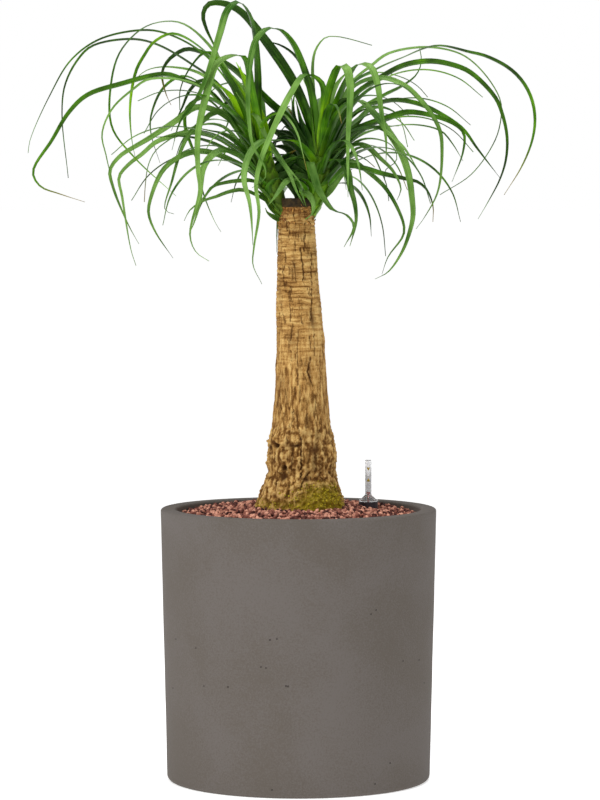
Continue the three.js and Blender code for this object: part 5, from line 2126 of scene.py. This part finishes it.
RIGHT_SHOOT = Shoot(
    name="leaves_right",
    stands_for="head_right",
    core=((7, -2, 808), (20, -3, 832), (29, -4, 866), (34, -5, 904)),
    radii=(9, 12, 17, 12),
    leaves=RIGHT_LEAVES,
    sectors=(
        Sector(272, 340, 5, (190, 320), (44, 76), 7),
        Sector(15, 82, 5, (210, 330), (40, 72), 9),
    ),
    inner=RIGHT_INNER,
)

BACK_LEAVES: Readings = (
    (0.55, -8, 15, -75, 10, 0.08, (303, 161, 290, 162.8, 278, 170, 269, 186)),
    (0.65, 12, 15, -75, -10, 0.06, (304, 160, 297, 144, 288, 138, 276, 141, 267, 150)),
    (0.8, 16, 18, -75, -10, 0.08, (303, 150, 294, 129, 283, 118, 274, 114.6, 266, 120, 262, 134)),
    (0.9, 10, 15, -70, 10, 0.2, (300, 160, 296, 130, 293, 105, 296, 88)),
    (0.3, 4, 14, -75, 0, 0.06, (303, 188, 302, 172, 296, 158, 286, 152)),
    (0.7, 10, 14, -70, 10, 0.12, (309, 150, 312, 128, 322, 114, 334, 118)),
    (0.4, 2, 15, -75, 0, 0.05, (301, 188, 292, 176, 283, 167, 271, 163)),
)
BACK_INNER: Readings = (
    (0.4, 16, 26, -80, 0, 0.03, (300, 186, 290, 170, 280, 160, 268, 158)),
    (0.6, 24, 26, -80, 0, 0.03, (302, 168, 292, 148, 280, 134, 264, 126)),
    (0.7, 18, 24, -80, 0, 0.05, (306, 160, 302, 140, 296, 122, 288, 108)),
    (0.5, 10, 23, -75, 0, 0.05, (303, 176, 296, 160, 286, 148, 272, 146)),
    (0.6, 14, 23, -75, 0, 0.04, (304, 166, 298, 148, 290, 134, 276, 130)),
    (0.3, 4, 22, -75, 0, 0.05, (300, 192, 292, 184, 282, 178, 272, 176)),
    (0.5, 10, 14, 70, 0, 0.1, (309, 170, 316, 150, 324, 136, 336, 130)),
)
BACK_SHOOT = Shoot(
    name="leaves_back",
    stands_for="head_back",
    core=((3, 8, 808), (8, 24, 832), (13, 38, 862), (16, 46, 892)),
    radii=(9, 12, 14, 8),
    leaves=BACK_LEAVES,
    sectors=(Sector(35, 150, 13, (220, 390), (30, 74), 13),),
    inner=BACK_INNER,
)


# ---- Water gauge ----


@dataclass
class WaterGauge:
    """The water gauge: its housing, a clear cap with its sight tube, and the float."""

    across: float = 102.5
    back: float = 66
    housing_radius: float = 14
    housing_bore: float = 12
    housing_foot: float = 25.3
    housing_top: float = 399
    rim_round: float = 0.6
    skirt_radius: float = 11.6
    skirt_depth: float = 8
    flange: float = 399.3
    flange_height: float = 3.1
    flange_round: float = 0.5
    cone_top: float = 409.4
    cone_round: float = 3
    cone_turn: Span = (240, 180)  # the round's start and end, in degrees
    tube_radius: float = 4.7
    tube_top: float = 460.3
    tube_round: float = 1
    tube_bore: float = 3.5
    cap_wall: float = 1.2
    float_radius: float = 10
    float_foot: float = 28
    float_top: float = 73
    float_round: float = 2
    rod_gap: float = 0.3
    rod_radius: float = 1.5
    pointer_radius: float = 2.8
    pointer_foot: float = 409.4
    pointer_top: float = 413.6
    pointer_round: float = 0.6
    mark_size: float = 3.1
    mark_thickness: float = 0.25
    # Each mark's name and height, and whether it points up
    marks: tuple[tuple[str, float, bool], ...] = (
        ("mark_high", 448, False),
        ("mark_low", 430.5, True),
    )
    sides: int = 72

    def set_down(self, mesh: Mesh) -> Mesh:
        """Move a mesh to the gauge's place in the planter."""
        bmesh.ops.translate(mesh, vec=(self.across, self.back, 0), verts=mesh.verts)
        return mesh

    def housing(self) -> Mesh:
        """Make the housing, with a softened rim.

        Returns:
            Its mesh.
        """
        soft = self.rim_round
        high = self.housing_top - soft
        return turned(
            (
                (self.housing_bore, self.housing_foot),
                (self.housing_radius, self.housing_foot),
                *rounded((self.housing_radius - soft, high), soft, 0, 90, 4),
                *rounded((self.housing_bore + soft, high), soft, 90, 180, 4),
                (self.housing_bore, self.housing_foot),
            ),
            self.sides,
        )

    def cap(self) -> Mesh:
        """Make the clear cap: a skirt, a flange, a cone and the sight tube.

        Returns:
            Its mesh.
        """
        skirt = self.skirt_radius - self.cap_wall
        low = self.housing_top - self.skirt_depth
        step = self.flange + self.flange_height
        soft, cone, end = self.flange_round, self.cone_round, self.tube_round
        under, inside = step - self.cap_wall, self.cone_top - self.cap_wall
        return turned(
            (
                (skirt, low),
                (self.skirt_radius, low),
                (self.skirt_radius, self.flange),
                (self.housing_radius, self.flange),
                *rounded((self.housing_radius - soft, step - soft), soft, 0, 90, 4),
                (self.skirt_radius, step),
                *rounded((self.tube_radius + cone, self.cone_top + 1), cone, *self.cone_turn, 5),
                *rounded((self.tube_radius - end, self.tube_top - end), end, 0, 90, 4),
                (0, self.tube_top),
                (0, self.tube_top - self.cap_wall),
                (self.tube_bore, self.tube_top - self.cap_wall),
                (self.tube_bore, inside),
                (skirt, under),
                (skirt, low),
            ),
            self.sides,
        )

    def float_body(self) -> Mesh:
        """Make the foam float.

        Returns:
            Its mesh.
        """
        soft = self.float_round
        rim = self.float_radius - soft
        return turned(
            (
                (0, self.float_foot),
                *rounded((rim, self.float_foot + soft), soft, -90, 0, 5),
                *rounded((rim, self.float_top - soft), soft, 0, 90, 5),
                (0, self.float_top),
            ),
            self.sides,
        )

    def pointer(self) -> Mesh:
        """Make the float's rod with the red pointer at its top.

        Returns:
            Its mesh.
        """
        soft = self.pointer_round
        rim = self.pointer_radius - soft
        foot = self.float_top + self.rod_gap
        return turned(
            (
                (0, foot),
                (self.rod_radius, foot),
                (self.rod_radius, self.pointer_foot),
                *rounded((rim, self.pointer_foot + soft), soft, -90, 0, 3),
                *rounded((rim, self.pointer_top - soft), soft, 0, 90, 3),
                (0, self.pointer_top),
            ),
            self.sides // 2,
        )

    def mark_at(self, height: float, points_up: bool) -> Mesh:
        """A small yellow arrowhead on the front of the sight tube.

        Args:
            height: The height of its middle.
            points_up: Whether it points up, and otherwise down.

        Returns:
            The arrowhead, bent round the tube.
        """
        mesh = bmesh.new()
        upright = Matrix.Rotation(math.radians(90 if points_up else -90), 4, "X")
        bmesh.ops.create_cone(
            mesh,
            cap_ends=True,
            segments=3,
            radius1=self.mark_size,
            radius2=self.mark_size,
            depth=2 * self.mark_thickness,
            matrix=upright,
        )
        bmesh.ops.subdivide_edges(mesh, edges=mesh.edges, cuts=3, use_grid_fill=True)
        for vert in mesh.verts:
            vert.co.y -= math.sqrt(self.tube_radius**2 - vert.co.x**2)
        bmesh.ops.translate(mesh, vec=(0, 0, height), verts=mesh.verts)
        return self.set_down(mesh)

    def build(self) -> None:
        """Make the gauge's pieces and hand them over."""
        black = Plastic("gauge_black", srgb(62, 50, 56), srgb(44, 36, 42), 0.45).material()
        bright, milky = srgb(252, 252, 252), srgb(246, 246, 247)
        glass = Plastic("gauge_clear", bright, milky, 0.03, clearness=0.87, ripple=0.000002)
        foam = Plastic("float_foam", srgb(232, 228, 218), srgb(214, 208, 196), 0.8).material()
        red = Plastic("pointer_red", srgb(222, 50, 24), srgb(198, 36, 18), 0.35).material()
        yellow = Plastic("mark_yellow", srgb(206, 176, 30), srgb(186, 150, 22), 0.5).material()
        shell = self.set_down(self.housing())
        Piece("gauge_shell", shell, black, Slot.HOUSING, ("gauge_housing",)).hand_over()
        cap = self.set_down(self.cap())
        Piece("gauge_sight", cap, glass.material(), Slot.CLEAR, ("gauge_cap",)).hand_over()
        body = self.set_down(self.float_body())
        Piece("float_body", body, foam, Slot.FOAM, ("gauge_float",), Body.FLOAT).hand_over()
        rod = self.set_down(self.pointer())
        Piece("float_rod", rod, red, Slot.POINTER, ("gauge_pointer",), Body.FLOAT).hand_over()
        for name, height, points_up in self.marks:
            Piece(name, self.mark_at(height, points_up), yellow).hand_over()


# ---- Studio ----


@dataclass(frozen=True)
class SoftBox:
    """One soft box. Its places are in metres and its power is in watts."""

    name: str
    place: Triple
    aim: Triple
    power: float
    size: float = 1.6

    def build(self) -> None:
        """Make the soft box, turned to what it points at."""
        lamp = bpy.data.lights.new(self.name, "AREA")
        lamp.shape = "RECTANGLE"
        lamp.size, lamp.size_y = self.size, self.size
        lamp.energy = self.power
        holder = bpy.data.objects.new(self.name, lamp)
        holder.location = self.place
        way = Vector(self.aim) - Vector(self.place)
        holder.rotation_euler = way.to_track_quat("-Z", "Y").to_euler()
        bpy.context.scene.collection.objects.link(holder)


@dataclass
class Studio:
    """A white studio: a pale floor, an even white surround and soft boxes."""

    surround: float = 0.5  # light that the surround gives
    backdrop: float = 1.0  # how bright it is to the camera
    floor_glow: float = 0.56  # the floor is lit from within, as a light table is
    floor_reach: float = 400  # metres, out to the horizon
    white: Colour = srgb(250, 250, 250)
    boxes: tuple[SoftBox, ...] = (
        SoftBox("key", (-2.6, -2.4, 2.4), (0, 0, 0.7), 55),
        SoftBox("top", (0.2, -0.4, 3.2), (0, 0, 1), 45),
    )

    def floor(self) -> None:
        """Make the pale floor, which isn't part of the object."""
        mesh = bmesh.new()
        bmesh.ops.create_grid(mesh, x_segments=1, y_segments=1, size=self.floor_reach)
        data = bpy.data.meshes.new("studio_floor")
        mesh.to_mesh(data)
        mesh.free()
        floor = bpy.data.objects.new("studio_floor", data)
        graph = Graph("studio_floor")
        paper = graph.surface(
            Base_Color=self.white,
            Roughness=1.0,
            Emission_Color=self.white,
            Emission_Strength=self.floor_glow,
        )
        data.materials.append(paper)
        bpy.context.scene.collection.objects.link(floor)

    def sky(self) -> None:
        """Make the surround, white to the camera and softer as a light."""
        scene = bpy.context.scene
        scene.world = bpy.data.worlds.new("studio")
        scene.world.use_nodes = True
        tree = scene.world.node_tree
        ray = tree.nodes.new("ShaderNodeLightPath")
        level = tree.nodes.new("ShaderNodeMapRange")
        level.inputs["To Min"].default_value = self.surround
        level.inputs["To Max"].default_value = self.backdrop
        tree.links.new(ray.outputs["Is Camera Ray"], level.inputs["Value"])
        ground = tree.nodes["Background"]
        ground.inputs["Color"].default_value = (1, 1, 1, 1)
        tree.links.new(level.outputs["Result"], ground.inputs["Strength"])

    def build(self) -> None:
        """Make the studio."""
        bpy.context.scene.view_settings.view_transform = "Standard"
        self.sky()
        self.floor()
        for box in self.boxes:
            box.build()


def main() -> None:
    """Build the palm, piece by piece, in its studio."""
    logging.basicConfig(level=logging.INFO, format="%(name)s %(message)s")
    VIEW.camera()
    Studio().build()
    planter, cane = Planter(), Cane()
    planter.build()
    cane.build()
    GranuleBed(planter, cane).build()
    skin = LeafSkin().material()
    for shoot in (LEFT_SHOOT, RIGHT_SHOOT, BACK_SHOOT):
        shoot.build(skin)
    WaterGauge().build()
    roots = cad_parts["root_ball"]
    roots.data.materials.clear()
    roots.data.materials.append(Soil().material())


if __name__ == "__main__":
    main()
